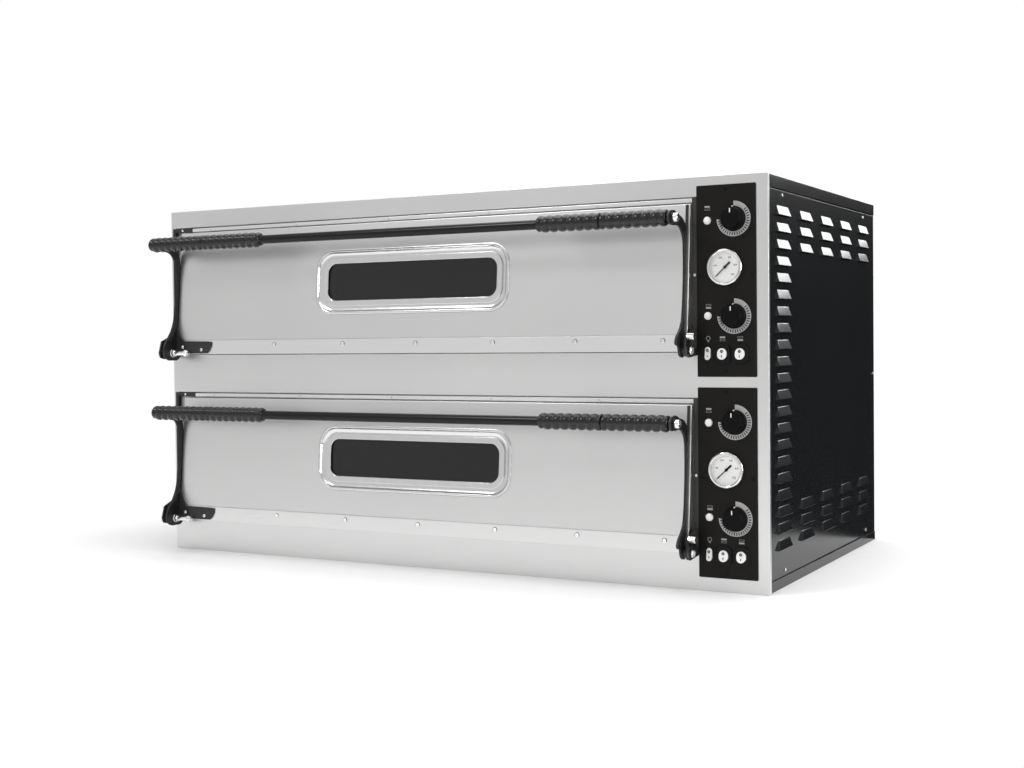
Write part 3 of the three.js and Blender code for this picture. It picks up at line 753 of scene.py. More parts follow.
def rounded_plate(name, width, height, radius, front, back, segments=8):
    """A rounded rectangle about the origin, between two depths, in millimetres."""
    low = Vector((-width / 2, front, -height / 2)) * MM
    piece = block(name, low, Vector((width / 2, back, height / 2)) * MM)
    points = piece.data.vertices
    pick(piece, "edges", lambda e: abs(points[e.vertices[0]].co.y - points[e.vertices[1]].co.y) > 1e-6)
    bpy.ops.mesh.bevel(offset=radius * MM, segments=segments, affect="EDGES")
    done()
    return piece


def shift(piece, place):
    piece.data.transform(Matrix.Translation(place))
    return piece


print("ready to turn a profile and to round a plate")

# %% [markdown]
# ## Where the door's face lies
# The door leans back a little: it stands out more at its foot than at its top. Its parts are modelled
# upright around the origin, and one function leans each of them onto the face.

# %% Lean a part onto the door
DOOR = {"left": -652, "right": 541.5, "bottom": 1.5, "top": 266.5, "out": 26, "lean": 22}
LEAN = atan2(DOOR["lean"], DOOR["top"] - DOOR["bottom"])
DOOR_MIDDLE = (DOOR["left"] + DOOR["right"]) / 2
WINDOW_X, WINDOW_Z = -53, 148


def door_out(height):
    return DOOR["out"] - (height - DOOR["bottom"]) * DOOR["lean"] / (DOOR["top"] - DOOR["bottom"])


def on_door(piece, deck, across, height):
    """Leans an upright piece onto the door face: its own origin goes to that place on the face."""
    place = at(across, -door_out(height), deck_base(deck) + height)
    piece.data.transform(Matrix.Translation(place) @ Matrix.Rotation(-LEAN, 4, "X"))
    return piece


print("the doors lean back by", round(LEAN * 180 / pi, 1), "degrees")

# %% [markdown]
# ## The door skin and its pressed window
# Around the window the sheet is pressed in: a raised rim, then a shallow slope that runs down to a flat
# where the polished ring lies. The press tool is a rounded block, and six insets of its back face give
# the slope its soft shoulders. Two narrow grooves in the skin mark where its folded parts meet.

# %% Press the door skin and set the window
PRESS_STEPS = ((0.8, 0.3), (0.9, 1.6), (1.2, 2.6), (1.6, 1.6), (3.5, 0.9), (3.5, 0.6))
GROOVES = (((-598, -5, 31.1), (598, 3, 32.7)), ((591.4, -5, 0), (593.4, 2, 270)))


def press_tool():
    tool = rounded_plate("press tool", 447, 125, 38, -20, -2.6, 12)
    pick(tool, "polygons", lambda face: face.normal.y > 0.9)
    for inset, depth in PRESS_STEPS:
        bpy.ops.mesh.inset(thickness=inset * MM, depth=depth * MM)
    done()
    return tool


def press_frame(deck):
    """The pressed slope around the window with its raised rim, rubbed bright by the press."""
    frame = soften(rounded_plate(f"window_press_{deck}", 456, 134, 42.5, -2.6, 6.4, 12), 2.3 * MM, 3)
    cut(frame, press_tool())
    cut(frame, rounded_plate("window hole", 407, 84, 20, -5, 40, 12))
    return on_door(frame, deck, WINDOW_X, WINDOW_Z)


def door_skin(deck):
    base = deck_base(deck)
    low = at(DOOR["left"], -DOOR["out"], base + DOOR["bottom"])
    skin = block(f"door_skin_{deck}.finished", low, at(DOOR["right"], 1.5, base + DOOR["top"]))
    top, front = (base + DOOR["top"] - 1) * MM, FRONT_Y - 20 * MM
    pick(skin, "vertices", lambda v: v.co.z > top and v.co.y < front)
    move_picked(0, DOOR["lean"], 0)
    done()
    soften(skin, 1.3 * MM, 3)
    room = rounded_plate("press room", 456.4, 134.4, 42.7, -20, 6.5, 12)
    cut(skin, on_door(room, deck, WINDOW_X, WINDOW_Z))
    for low, high in GROOVES:
        groove = block("groove", Vector(low) * MM, Vector(high) * MM)
        cut(skin, on_door(groove, deck, DOOR_MIDDLE, 0))
    return cut(skin, on_door(rounded_plate("window hole", 407, 84, 20, -5, 40), deck, WINDOW_X, WINDOW_Z))


def window_ring(deck):
    ring = rounded_plate(f"window_bezel_{deck}.finished", 422, 100, 29, 1.2, 4.7, 12)
    cut(ring, rounded_plate("window opening", 399, 76, 20, -5, 20, 12))
    return on_door(soften(ring, 1.1 * MM, 3), deck, WINDOW_X, WINDOW_Z)


for deck in DECKS:
    body = f"door_{deck}"
    settle(door_skin(deck), body, "stainless_front", STAINLESS, f"door_skin_{deck}")
    settle(press_frame(deck), body, "stainless_front", PRESSED)
    settle(window_ring(deck), body, "polished_steel", POLISHED, f"window_bezel_{deck}")
    glass = soften(rounded_plate(f"window_glass_{deck}.finished", 419, 96, 24, 6.8, 10.8), 0.5 * MM, 2)
    settle(on_door(glass, deck, WINDOW_X, WINDOW_Z), body, "window_glass", WINDOW, f"window_glass_{deck}")

# %% [markdown]
# ## The door's foot strip and the strip above it
# A narrow strip stiffens the foot of each door and holds it to the inner sheet with seven screws. Above
# the door a folded strip closes the gap under the front sheet.

# %% Strips and their screws
STRIP_TOP, STRIP_PROUD = 31, 1.2
STRIP_SCREWS, STRIP_SCREW_PITCH, STRIP_SCREW_Z = 7, 176, 21.4
LINTEL_SCREWS, LINTEL_SCREW_PITCH, LINTEL_SCREW_Z = 5, 232, 272.6
for deck in DECKS:
    base, body = deck_base(deck), f"door_{deck}"
    strip = rounded_plate(f"door_strip_{deck}", 1193.3, STRIP_TOP - 1.7, 0.4, -STRIP_PROUD, 0.8, 2)
    on_door(soften(strip, 0.25 * MM), deck, DOOR_MIDDLE, STRIP_TOP / 2 + 0.8)
    settle(strip, body, "stainless_front", BRIGHT_STRIP)
    screw_y = -door_out(STRIP_SCREW_Z) - STRIP_PROUD
    rows = [(-560.6 + STRIP_SCREW_PITCH * i, screw_y, base + STRIP_SCREW_Z) for i in range(STRIP_SCREWS)]
    screw_set(f"strip_screws_{deck}", body, "polished_steel", BRIGHT_BOLT, 4.0, 1.3, "front", rows)
    # Painted shade: each strip screw sits on a thin black disc a little wider than its head, standing for
    # the shadow gap of its countersink.
    screw_set(f"strip_screw_shadow_discs_{deck}", body, "needle_black", INK_AND_SHADE_BLACK, 4.9, 0.25, "front", rows)
    lintel = block(f"lintel_{deck}", at(-625, 0.4, base + 269), at(546, 7.6, base + 276.6))
    settle(soften(lintel, 0.9 * MM), "cabinet", "stainless_front", BRIGHT_STRIP)
    rows = [(-572 + LINTEL_SCREW_PITCH * i, 0.4, base + LINTEL_SCREW_Z) for i in range(LINTEL_SCREWS)]
    screw_set(f"lintel_screws_{deck}", "cabinet", "polished_steel", POLISHED, 2.4, 1.0, "front", rows)

# %% [markdown]
# ## Door arms
# Each arm is a thick plate cut to a flowing outline: a slim shank that sweeps forward to the bar, over a
# broad hub at the hinge. A few points on a smooth curve give that outline. The curve is filled, given
# its thickness and rounded, and only then becomes a mesh. A ring around the bar is joined on. The two
# arms share the shank and differ in the hub.

# %% Draw and cut an arm plate
SHANK_FRONT = [(82, 227), (56, 225), (38, 219), (27, 205), (24, 180), (24.5, 140), (28, 100), (31, 78)]
SHANK_BACK = [(8, 70), (8, 130), (8, 196), (12, 216), (25, 235), (52, 245), (82, 248)]
LEFT_HUB = [(39, 56), (50, 39), (61, 25), (66, 10), (63, -3), (53, -10.5), (38, -12), (20, -10), (9, 8)]
RIGHT_HUB = [(38, 53), (50, 39), (62, 29), (67, 16), (55, 11), (50, -2), (42, -8), (30, -7), (10, 20)]
BAR_OUT, BAR_Z, ARM_THICK = 85, 237, 5


def plate_from(name, points, thick, rounding):
    """A smooth outline of (across, up) points, filled and thickened about its own plane."""
    bpy.ops.object.select_all(action="DESELECT")
    bpy.ops.curve.primitive_bezier_circle_add()
    curve = bpy.context.object
    data = curve.data
    data.splines.clear()
    spline = data.splines.new("BEZIER")
    spline.bezier_points.add(len(points) - 1)
    for knot, (across, up) in zip(spline.bezier_points, points):
        knot.co = (across * MM, up * MM, 0)
        knot.handle_left_type = knot.handle_right_type = "AUTO"
    spline.use_cyclic_u = True
    data.dimensions, data.fill_mode, data.resolution_u = "2D", "BOTH", 6
    data.bevel_depth, data.bevel_resolution = rounding * MM, 2
    data.extrude = (thick / 2 - rounding) * MM
    data.offset = -rounding * MM
    bpy.ops.object.convert(target="MESH")
    curve.name = name
    pick(curve, "polygons", lambda face: True)
    bpy.ops.mesh.remove_doubles(threshold=0.01 * MM)
    bpy.ops.mesh.normals_make_consistent(inside=False)
    done()
    return curve


def stand_sideways(piece, across, base):
    """Turns a plate drawn flat so that its outline runs forward and up."""
    piece.data.transform(Matrix(((0, 0, 1, 0), (-1, 0, 0, 0), (0, 1, 0, 0), (0, 0, 0, 1))))
    return shift(piece, at(across, 0, base))


def arm(name, hub, across, base):
    plate = plate_from(name, SHANK_FRONT + hub + SHANK_BACK, ARM_THICK, 1.2)
    stand_sideways(plate, across + ARM_THICK / 2, base)
    start, end = at(across, -BAR_OUT, base + BAR_Z), at(across + ARM_THICK, -BAR_OUT, base + BAR_Z)
    eye = soften(rod("eye", 13 * MM, start, end, 40), 1.2 * MM, 2)
    cut(plate, eye, "UNION")
    past = Vector((MM, 0, 0))
    return cut(plate, rod("bar hole", 9.6 * MM, start - past, end + past, 40))


print("points in the outline of an arm:", len(SHANK_FRONT + LEFT_HUB + SHANK_BACK))

# %% [markdown]
# ## Fitting the arms
# The left arm ends in a flange that is screwed on over the door's foot strip. The right arm stands on
# the door's face with a foot at the top and is carried by a spacer at the pivot, so the part of its
# plate that would lie behind the face is cut away.

# %% Fit an arm at each end of the door
LEFT_ARM, RIGHT_ARM = -657.5, 533.5
ARM_MIDDLE = ARM_THICK / 2
PIVOT_OUT, PIVOT_Z = 40, 4
FLANGE_FOOT = [(-1, 2), (40, 2.4), (88, 3), (94, 9), (99, 19), (99, 28)]
FLANGE_TOP = [(90, 29), (20, 30), (9, 42), (3, 56), (-1, 66)]


def flange_plate(thick, clear):
    """The flat flange of the left arm; the foot strip holds it a little clear of the door's face."""
    flange = outline("flange", [(x * MM, 0, z * MM) for x, z in FLANGE_FOOT + FLANGE_TOP])
    pick(flange, "edges", lambda edge: True)
    bpy.ops.mesh.edge_face_add()
    bpy.ops.mesh.select_all(action="SELECT")
    bpy.ops.mesh.extrude_region_move(TRANSFORM_OT_translate={"value": (0, thick * MM, 0)})
    bpy.ops.mesh.select_all(action="SELECT")
    bpy.ops.mesh.normals_make_consistent(inside=False)
    done()
    return shift(soften(flange, 0.9 * MM), Vector((0, -(clear + thick) * MM, 0)))


def pivot_rod(name, radius, start, end, deck):
    """A round part on the door's pivot line, from one place across to another."""
    height = deck_base(deck) + PIVOT_Z
    return rod(name, radius * MM, at(start, -PIVOT_OUT, height), at(end, -PIVOT_OUT, height))


for deck in DECKS:
    base, body = deck_base(deck), f"door_{deck}"
    left = arm(f"door_arm_left_{deck}.finished", LEFT_HUB, LEFT_ARM, base)
    left = join(left.name, [left, on_door(flange_plate(3, 1.5), deck, LEFT_ARM + ARM_THICK, 0)])
    settle(left, body, "bracket_paint", BRACKET, f"door_arm_left_{deck}")

    right = arm(f"door_arm_right_{deck}.finished", RIGHT_HUB, RIGHT_ARM, base)
    past_door = block("behind the door face", Vector((-8, -0.4, 1.2)) * MM, Vector((8, 60, 275)) * MM)
    cut(right, on_door(past_door, deck, RIGHT_ARM + ARM_MIDDLE, 0))
    foot_low, foot_high = Vector((-ARM_MIDDLE, -2.5, 200)), Vector((ARM_MIDDLE, 0.2, 266))
    foot = soften(block("arm foot", foot_low * MM, foot_high * MM), 0.6 * MM)
    spacer = soften(pivot_rod("spacer", 7.6, 538, 547.6, deck), 0.8 * MM)
    right = join(right.name, [right, on_door(foot, deck, RIGHT_ARM + ARM_MIDDLE, 0), spacer])
    settle(right, body, "bracket_paint", BRACKET, f"door_arm_right_{deck}")

# %% [markdown]
# ## Pivot bolts and nuts
# Each door turns on two bolts. The left one shows a washer, a nut and the long thread with its end nut.
# The right one shows only a domed head, and a like head closes the end of the handle bar. A hexagon is
# a round bar with six sides.

# %% Bolt the arms
def bolt_head(name, across, out, height, radius, thick, sides=6):
    """A nut or bolt head that faces sideways, its edges chamfered."""
    head = rod(name, radius * MM, at(across, -out, height), at(across + thick, -out, height), sides)
    return soften(head, 0.7 * MM)


for deck in DECKS:
    base, body = deck_base(deck), f"door_{deck}"
    pivot_z = base + PIVOT_Z
    parts = [soften(pivot_rod("shank", 4.8, LEFT_ARM - 20, LEFT_ARM + 51, deck), 0.8 * MM)]
    parts.append(bolt_head("washer", LEFT_ARM + 5.2, PIVOT_OUT, pivot_z, 9, 2, 32))
    parts.append(bolt_head("nut", LEFT_ARM + 7.4, PIVOT_OUT, pivot_z, 8.2, 6))
    parts.append(bolt_head("end nut", LEFT_ARM + 41, PIVOT_OUT, pivot_z, 8, 7))
    settle(join(f"pivot_bolt_left_{deck}", parts), body, "polished_steel", BRIGHT_BOLT)
    head = soften(pivot_rod("head", 7.6, 552.3, 558, deck), 2.2 * MM, 4)
    bolt = join(f"pivot_bolt_right_{deck}", [head, pivot_rod("shank", 4.8, 547, 556, deck)])
    settle(bolt, body, "polished_steel", BRIGHT_BOLT)
    end_start, end_stop = at(542, -BAR_OUT, base + BAR_Z), at(551, -BAR_OUT, base + BAR_Z)
    bar_end = soften(rod(f"bar_end_bolt_{deck}", 7.8 * MM, end_start, end_stop), 2 * MM, 4)
    settle(bar_end, body, "polished_steel", BRIGHT_BOLT)
    dots = [(-630, -32, base + 17), (-580, -28.5, base + 11)]
    screw_set(f"flange_screws_{deck}", body, "polished_steel", BRIGHT_BOLT, 3.6, 2, "front", dots)

# %% [markdown]
# ## The rib of a grip
# The grips are moulded like thick rope: one rounded rib winds around them. The rib's section is a short
# arched line, and the Screw modifier winds it along a helix.

# %% Wind a rib
GRIP_RADIUS, GRIP_VALLEY, GRIP_PITCH = 15.6, 12.6, 17.2


def rib_turns(length):
    """One rib wound around the axis at the origin, long enough to be cut to a length."""
    steps = 8
    points = []
    for i in range(steps + 1):
        share = i / steps
        reach = GRIP_VALLEY + (GRIP_RADIUS - GRIP_VALLEY) * sin(pi * share) ** 0.75
        points.append((share * GRIP_PITCH * MM, 0, reach * MM))
    rib = outline("rib", points)
    ends = {0, steps}
    pick(rib, "edges", lambda e: set(e.vertices) == ends)
    bpy.ops.mesh.delete(type="EDGE_FACE")
    done()
    turns = ceil(length / GRIP_PITCH) + 3
    winding = {"axis": "X", "angle": -2 * pi, "screw_offset": GRIP_PITCH * MM, "iterations": turns}
    add_modifier(rib, "SCREW", **winding, steps=24, render_steps=24, use_merge_vertices=False)
    return shift(rib, Vector((-2 * GRIP_PITCH * MM, 0, 0)))


print("the rib rises", round(GRIP_RADIUS - GRIP_VALLEY, 1), "mm and turns once every", GRIP_PITCH, "mm")

# %% [markdown]
# ## Handle bar and twisted grips
# The bar is a plain round tube. Each grip on it is two mouldings end to end: the wound rib is cut square
# at both ends, the cuts are filled, and the ends are drawn in until they close on the bar.

# %% Cut the grips to length and fit the bar
LEFT_GRIP, RIGHT_GRIP = (-667, -366), (274, 532)
OUTER_LEFT, INNER, OUTER_RIGHT, SEAM = (13, 0.25), (9, 0.62), (7, 0.7), (1.5, 0.85)


def moulding(length, start_end, far_end):
    """One moulding from the origin along X.

    Each end is given as the length that is drawn in and the share of the radius that is left there.
    """
    rib = rib_turns(length)
    pick(rib, "polygons", lambda face: True)
    bpy.ops.mesh.remove_doubles(threshold=0.02 * MM)
    for place, normal in ((0, (-1, 0, 0)), (length * MM, (1, 0, 0))):
        bpy.ops.mesh.select_all(action="SELECT")
        bpy.ops.mesh.bisect(plane_co=(place, 0, 0), plane_no=normal, clear_outer=True, use_fill=True)
    bpy.ops.mesh.select_all(action="SELECT")
    bpy.ops.mesh.normals_make_consistent(inside=False)
    done()
    for vertex in rib.data.vertices:
        draw_in = 1.0
        along = vertex.co.x / MM
        for reach, (rounding, left) in ((along, start_end), (length - along, far_end)):
            if reach < rounding:
                draw_in *= left + (1 - left) * max(1 - ((rounding - reach) / rounding) ** 2, 0) ** 0.5
        vertex.co.y *= draw_in
        vertex.co.z *= draw_in
    return rib


def grip(name, place, base, start_end, far_end):
    start, end = place
    middle = (start + end) / 2
    first = shift(moulding(middle - start, start_end, SEAM), at(start, -BAR_OUT, base + BAR_Z))
    second = shift(moulding(end - middle, SEAM, far_end), at(middle, -BAR_OUT, base + BAR_Z))
    return join(name, [first, second])


for deck in DECKS:
    base, body = deck_base(deck), f"door_{deck}"
    left = grip(f"handle_grip_left_{deck}.finished", LEFT_GRIP, base, OUTER_LEFT, INNER)
    settle(left, body, "grip_plastic", GRIP, f"handle_grip_left_{deck}", angle=70)
    right = grip(f"handle_grip_right_{deck}.finished", RIGHT_GRIP, base, INNER, OUTER_RIGHT)
    settle(right, body, "grip_plastic", GRIP, f"handle_grip_right_{deck}", angle=70)
    start, end = at(LEFT_ARM - 5, -BAR_OUT, base + BAR_Z), at(RIGHT_ARM + 9, -BAR_OUT, base + BAR_Z)
    bar = soften(rod(f"handle_bar_{deck}.finished", 9 * MM, start, end, 48), 1.5 * MM, 3)
    settle(bar, body, "bar_black", BAR, f"handle_bar_{deck}")

# %% [markdown]
# ## Hinge brackets on the cabinet
# A black upright fills each side of the opening, and from its foot an ear reaches out to carry the
# door's pivot. The measured shape is right, so a copy gets rounded edges. A bright hexagon stop on the
# right ear and small screws are added.

# %% Brackets, stops and their screws
for deck in DECKS:
    base = deck_base(deck)
    round_off(f"hinge_bracket_left_{deck}", 0.6)
    round_off(f"hinge_bracket_right_{deck}", 0.6)
    stop = bolt_head(f"door_stop_{deck}", 549.5, 45, base + 29, 6.6, 14)
    settle(stop, "cabinet", "polished_steel", BRIGHT_BOLT)
    places = [(-653, 0.3, base + 273.4), (547.3, 0.3, base + 139)]
    screw_set(f"bracket_screws_{deck}", "cabinet", "polished_steel", BRIGHT_BOLT, 2.6, 1.2, "front", places)

# %% [markdown]
# ## The control plate and its printing
# The plate is a black aluminium label: a ring with a scale around each knob, small signs for top and
# bottom heat and for the lamp. The printing is flat, so it is written as shader maths on the plate's own
# coordinates: rings are distances from the knob's axis, dashes repeat around it, signs are rectangles.

# %% Print the control plate
PLATE = {"left": 552, "right": 663, "height": 342, "above": 298}
KNOB_X, KNOB_DROPS = 622, (61.5, 234)
GAUGE_X, GAUGE_DROP = 606, 147
LAMP_X, LAMP_DROPS = 573, (63, 233)
HEAT_SIGNS = ((573, 41, True), (574, 216, False), (600, 274, True), (633, 274, False))


def plate_finish(deck):
    finish = Finish(f"control plate {deck}")
    x, _, z = finish.axes()
    across = x / MM
    drop = (deck_base(deck) + PLATE["above"]) - z / MM
    marks = []

    def bar_mark(centre_x, centre_drop, half_width, half_height):
        return (across - centre_x).within(0, half_width) * (drop - centre_drop).within(0, half_height)

    def heat_sign(centre_x, centre_drop, top):
        side = -1 if top else 1
        solid_drop, frame_drop = centre_drop + side * 2.6, centre_drop - side * 2.4
        rim = bar_mark(centre_x, frame_drop, 5, 1.7) - bar_mark(centre_x, frame_drop, 4.2, 1)
        return bar_mark(centre_x, solid_drop, 5, 1.5) + rim * 0.6

    for knob_drop in KNOB_DROPS:
        right, down = across - KNOB_X, drop - knob_drop
        reach = (right * right + down * down).math("SQRT")
        turn = right.math("ARCTAN2", down * -1)
        clock = (turn + (1 - turn.above(0)) * 2 * pi) * (180 / pi)
        ring = reach.within(27, 4.4) * clock.below(270)
        dash = (clock / 9.5).math("FRACT").within(0.5, 0.2) * reach.within(27, 2.8)
        fade = clock.above(235) * reach.within(25, 2.2)
        marks.append(ring * (1 - dash * clock.above(47)) * (1 - fade * 0.6) * 0.62)
    for centre_x, centre_drop, top in HEAT_SIGNS:
        marks.append(heat_sign(centre_x, centre_drop, top) * 0.5)
    right, down = across - LAMP_X, drop - 273
    bulb = (right * right + down * down).math("SQRT")
    marks.append((bulb.within(3.6, 0.5) + bar_mark(LAMP_X, 278.4, 1.6, 0.9)) * 0.4)
    ink = marks[0]
    for mark in marks[1:]:
        ink = ink + mark
    ink = ink.math("MINIMUM", 1.0)
    grain = finish.noise(700, 2)
    film = finish.mix(grain, (0.0068, 0.006, 0.0052), (0.0098, 0.0088, 0.0078))
    finish.set(Base_Color=finish.mix(ink, film, grey(0.72)), Roughness=0.48 + grain * 0.08 - ink * 0.05)
    finish.set(Specular_IOR_Level=0.15)
    return finish.set(Normal=finish.bump(grain, 0.05, 0.0002)).material


print("heights on a control plate are drops from", PLATE["above"], "mm above the lower edge of its door")

# %% [markdown]
# ## Rocker switches and their boots
# A rocker is a rounded block whose face leans, because its upper half stands out while it is off. It is
# lower at its back, so that it can tilt without rubbing on the plate. The two power switches sit in soft
# rubber boots; the lamp switch is narrow and has none. Each face carries a line and a ring.

# %% Cut the plate and set the switches
def rocker(name, across, height, out, width, tall, rounding):
    piece = rounded_plate(name, width, tall, rounding, -2.6, 8, 6)
    pick(piece, "vertices", lambda v: v.co.y < -2 * MM)
    bpy.ops.transform.rotate(value=radians(7), orient_axis="X", center_override=(0, -2.6 * MM, 0))
    done()
    pick(piece, "vertices", lambda v: v.co.y > 7 * MM)
    bpy.ops.transform.resize(value=(1, 1, 0.4))
    done()
    soften(piece, 0.7 * MM, 2)
    return shift(piece, at(across, -out, height))


def switch_marks(name, across, height, out, tall):
    line = block("on", (-0.8 * MM, -0.2 * MM, 0), (0.8 * MM, 0.25 * MM, 3.8 * MM))
    shift(line, at(across, -out - 3.2, height - tall * 0.3))
    bpy.ops.object.select_all(action="DESELECT")
    place = at(across, -out - 3.3, height + tall * 0.22)
    bpy.ops.mesh.primitive_torus_add(
        location=place, rotation=(pi / 2, 0, 0), major_radius=1.9 * MM, minor_radius=0.7 * MM,
        major_segments=20, minor_segments=6
    )
    ring = bpy.context.object
    bpy.ops.object.transform_apply(location=True, rotation=True, scale=True)
    return join(name, [line, ring])


SWITCHES = (
    ("light", 572.5, 300, 10.4, 24, 2.9, False),
    ("top_heat", 600, 301, 17.4, 21, 5.3, True),
    ("bottom_heat", 633, 301, 17.4, 21, 5.3, True),
)

for deck in DECKS:
    top = deck_base(deck) + PLATE["above"]
    middle = (PLATE["left"] + PLATE["right"]) / 2
    plate = rounded_plate(f"control_plate_{deck}.finished", 110.7, PLATE["height"], 2, -2.3, -0.3)
    shift(soften(plate, 0.5 * MM, 2), at(middle, 0, top - PLATE["height"] / 2))
    for name, across, drop, width, tall, out, boot in SWITCHES:
        hole = rounded_plate("switch hole", width + 1, tall + 2, 1, -20, 5)
        cut(plate, shift(hole, at(across, 0, top - drop)))
    settle(plate, "cabinet", "control_plate", plate_finish(deck), f"control_plate_{deck}")

    boots = []
    for name, across, drop, width, tall, out, boot in SWITCHES:
        if boot:
            cover = soften(rounded_plate("boot", 30, 35, 9, -5.4, -2.3, 10), 2.2 * MM, 4)
            cut(cover, rounded_plate("boot opening", 18.6, 22.4, 8.8, -20, 5, 8))
            boots.append(shift(cover, at(across, 0, top - drop)))
        rounding = 8.4 if boot else 4.6
        body = f"{name}_rocker_{deck}"
        button = rocker(f"{name}_rocker_{deck}.finished", across, top - drop, out, width, tall, rounding)
        settle(button, body, "rocker_white", WHITE_SWITCH, f"{name}_rocker_{deck}")
        marks = switch_marks(f"{name}_rocker_marks_{deck}", across, top - drop, out, tall)
        settle(marks, body, "needle_black", INK_AND_SHADE_BLACK)
    settle(join(f"switch_boots_{deck}", boots), "cabinet", "control_plate", RUBBER)

# %% [markdown]
# ## Knobs and lamps
# Both are turned from a profile. A knob is a skirt with a tall cap, and its white pointer line is let
# into the cap's face and runs over the rim of the skirt. A lamp is a low milky lens.

# %% Turn the knobs and lamps
KNOB_SKIRT = [(0, 2.4), (21.4, 2.4), (22, 3), (22, 8.2), (21.2, 9.4), (19.8, 10.4)]
KNOB_CAP = [(18.9, 20.4), (17.4, 22.4), (15.5, 22.9), (0, 22.9)]
LAMP_LENS = [(0, 2.3), (7, 2.3), (7, 3.6), (6.2, 4.8), (4.4, 5.9), (2.2, 6.5), (0, 6.7)]


def pointer_line(name, height):
    """A white line on a knob, from its cap over its rim, above the knob's axis."""
    parts = []
    for near, low, far, high in ((-23.2, 9.5, -22.6, 17), (-10, 19.4, -3, 22.3)):
        parts.append(block(name, at(KNOB_X - 0.9, near, height + low), at(KNOB_X + 0.9, far, height + high)))
    return soften(join(name, parts), 0.15 * MM, 1)


for deck in DECKS:
    top = deck_base(deck) + PLATE["above"]
    for heat, knob_drop, lamp_drop in zip(("top", "bottom"), KNOB_DROPS, LAMP_DROPS):
        body, axis_z = f"{heat}_heat_knob_{deck}", top - knob_drop
        knob = turned(f"{body}.finished", KNOB_SKIRT + KNOB_CAP, KNOB_X, axis_z, 64)
        settle(knob, body, "knob_black", KNOB, body)
        settle(pointer_line(f"{heat}_heat_pointer_{deck}", axis_z), body, "rocker_white", INK_WHITE)
        lamp = turned(f"{heat}_heat_lamp_{deck}.finished", LAMP_LENS, LAMP_X, top - lamp_drop)
        settle(lamp, "cabinet", "lamp_lens", LAMP, f"{heat}_heat_lamp_{deck}")
    places = [(606, -2.3, top - 8), (560, -2.3, top - 162), (655, -2.3, top - 161), (606, -2.3, top - 332)]
    screw_set(f"plate_screws_{deck}", "cabinet", "knob_black", INK_AND_SHADE_BLACK, 3.2, 1.4, "front", places)

# %% [markdown]
# ## The chamber thermometer
# A chromed ring holds a white dial with a clear lens over it. The scale's marks are thin blocks, one
# modelled and turned about the axis, and its numbers are text made into a mesh. Its long thin pointer
# rests at the cold end of the scale.

# %% Make the thermometer
DIAL_START, DIAL_SWEEP, DIAL_TICKS, DIAL_NUMBERS = 223, 266, 50, 6
DIAL_OUT, NEEDLE_OUT = 3.95, 5.2


def on_dial(reach, share):
    angle = radians(DIAL_START - DIAL_SWEEP * share)
    return cos(angle) * reach, sin(angle) * reach, angle


def dial_marks(name, height):
    parts = []
    for i in range(DIAL_TICKS + 1):
        long = i % 10 == 0
        reach, half = (24.4, 1.4) if long else (25.0, 0.7)
        across, up, angle = on_dial(reach, i / DIAL_TICKS)
        mark = block("mark", (-half * MM, -0.1 * MM, -0.16 * MM), (half * MM, 0.05 * MM, 0.16 * MM))
        mark.data.transform(Matrix.Rotation(-angle, 4, "Y"))
        parts.append(shift(mark, at(GAUGE_X + across, -DIAL_OUT, height + up)))
    for i in range(DIAL_NUMBERS):
        across, up, angle = on_dial(19.0, i / (DIAL_NUMBERS - 1))
        bpy.ops.object.select_all(action="DESELECT")
        bpy.ops.object.text_add()
        number = bpy.context.object
        number.data.body = str(i * 100)
        number.data.size = 4.6 * MM
        number.data.align_x, number.data.align_y = "CENTER", "CENTER"
        number.data.extrude = 0.06 * MM
        bpy.ops.object.convert(target="MESH")
        number.data.transform(Matrix.Rotation(pi / 2, 4, "X"))
        parts.append(shift(number, at(GAUGE_X + across, -DIAL_OUT, height + up)))
    return join(name, parts)


def pointer(name, height):
    angle = radians(DIAL_START)
    parts = [block("blade", (0, -0.4 * MM, -0.85 * MM), (23.5 * MM, 0.4 * MM, 0.85 * MM))]
    parts.append(block("tail", (-13 * MM, -0.4 * MM, -1.9 * MM), (0, 0.4 * MM, 1.9 * MM)))
    blade = join(name, parts)
    blade.data.transform(Matrix.Rotation(-angle, 4, "Y"))
    shift(blade, at(GAUGE_X, -NEEDLE_OUT, height))
    hub = turned("hub", [(0, 4.3), (2.8, 4.3), (2.8, 5.8), (2, 6.4), (0, 6.5)], GAUGE_X, height, 32)
    return join(name, [soften(blade, 0.15 * MM, 1), hub])


for deck in DECKS:
    height = deck_base(deck) + PLATE["above"] - GAUGE_DROP
    ring = [(27.4, 2.6), (33, 2.6), (33, 7.4), (32.4, 9.2), (31, 10.4), (29.4, 10.6), (28, 9.8), (27.4, 8)]
    bezel = turned(f"gauge_case_{deck}.finished", ring, GAUGE_X, height, 64)
    settle(bezel, "cabinet", "polished_steel", POLISHED, f"gauge_case_{deck}")
    dial = turned(f"gauge_dial_{deck}", [(0, 2.8), (27.6, 2.8), (27.6, 3.9), (0, 3.9)], GAUGE_X, height, 64)
    settle(dial, "cabinet", "rocker_white", INK_WHITE)
    settle(dial_marks(f"gauge_scale_{deck}", height), "cabinet", "needle_black", INK_AND_SHADE_BLACK)
    body = f"gauge_needle_{deck}"
    settle(pointer(f"{body}.finished", height), body, "needle_black", NEEDLE, body)
    lens = turned(f"gauge_lens_{deck}", [(0, 8), (27.5, 8), (27.5, 8.7), (0, 9.2)], GAUGE_X, height, 64)
    settle(lens, "cabinet", "window_glass", LENS)

# %% [markdown]
# ## The cable gland
# At the back the supply cable enters through a plastic gland: a flange, a nut with six flats and a
# rounded cap around a rubber bore.

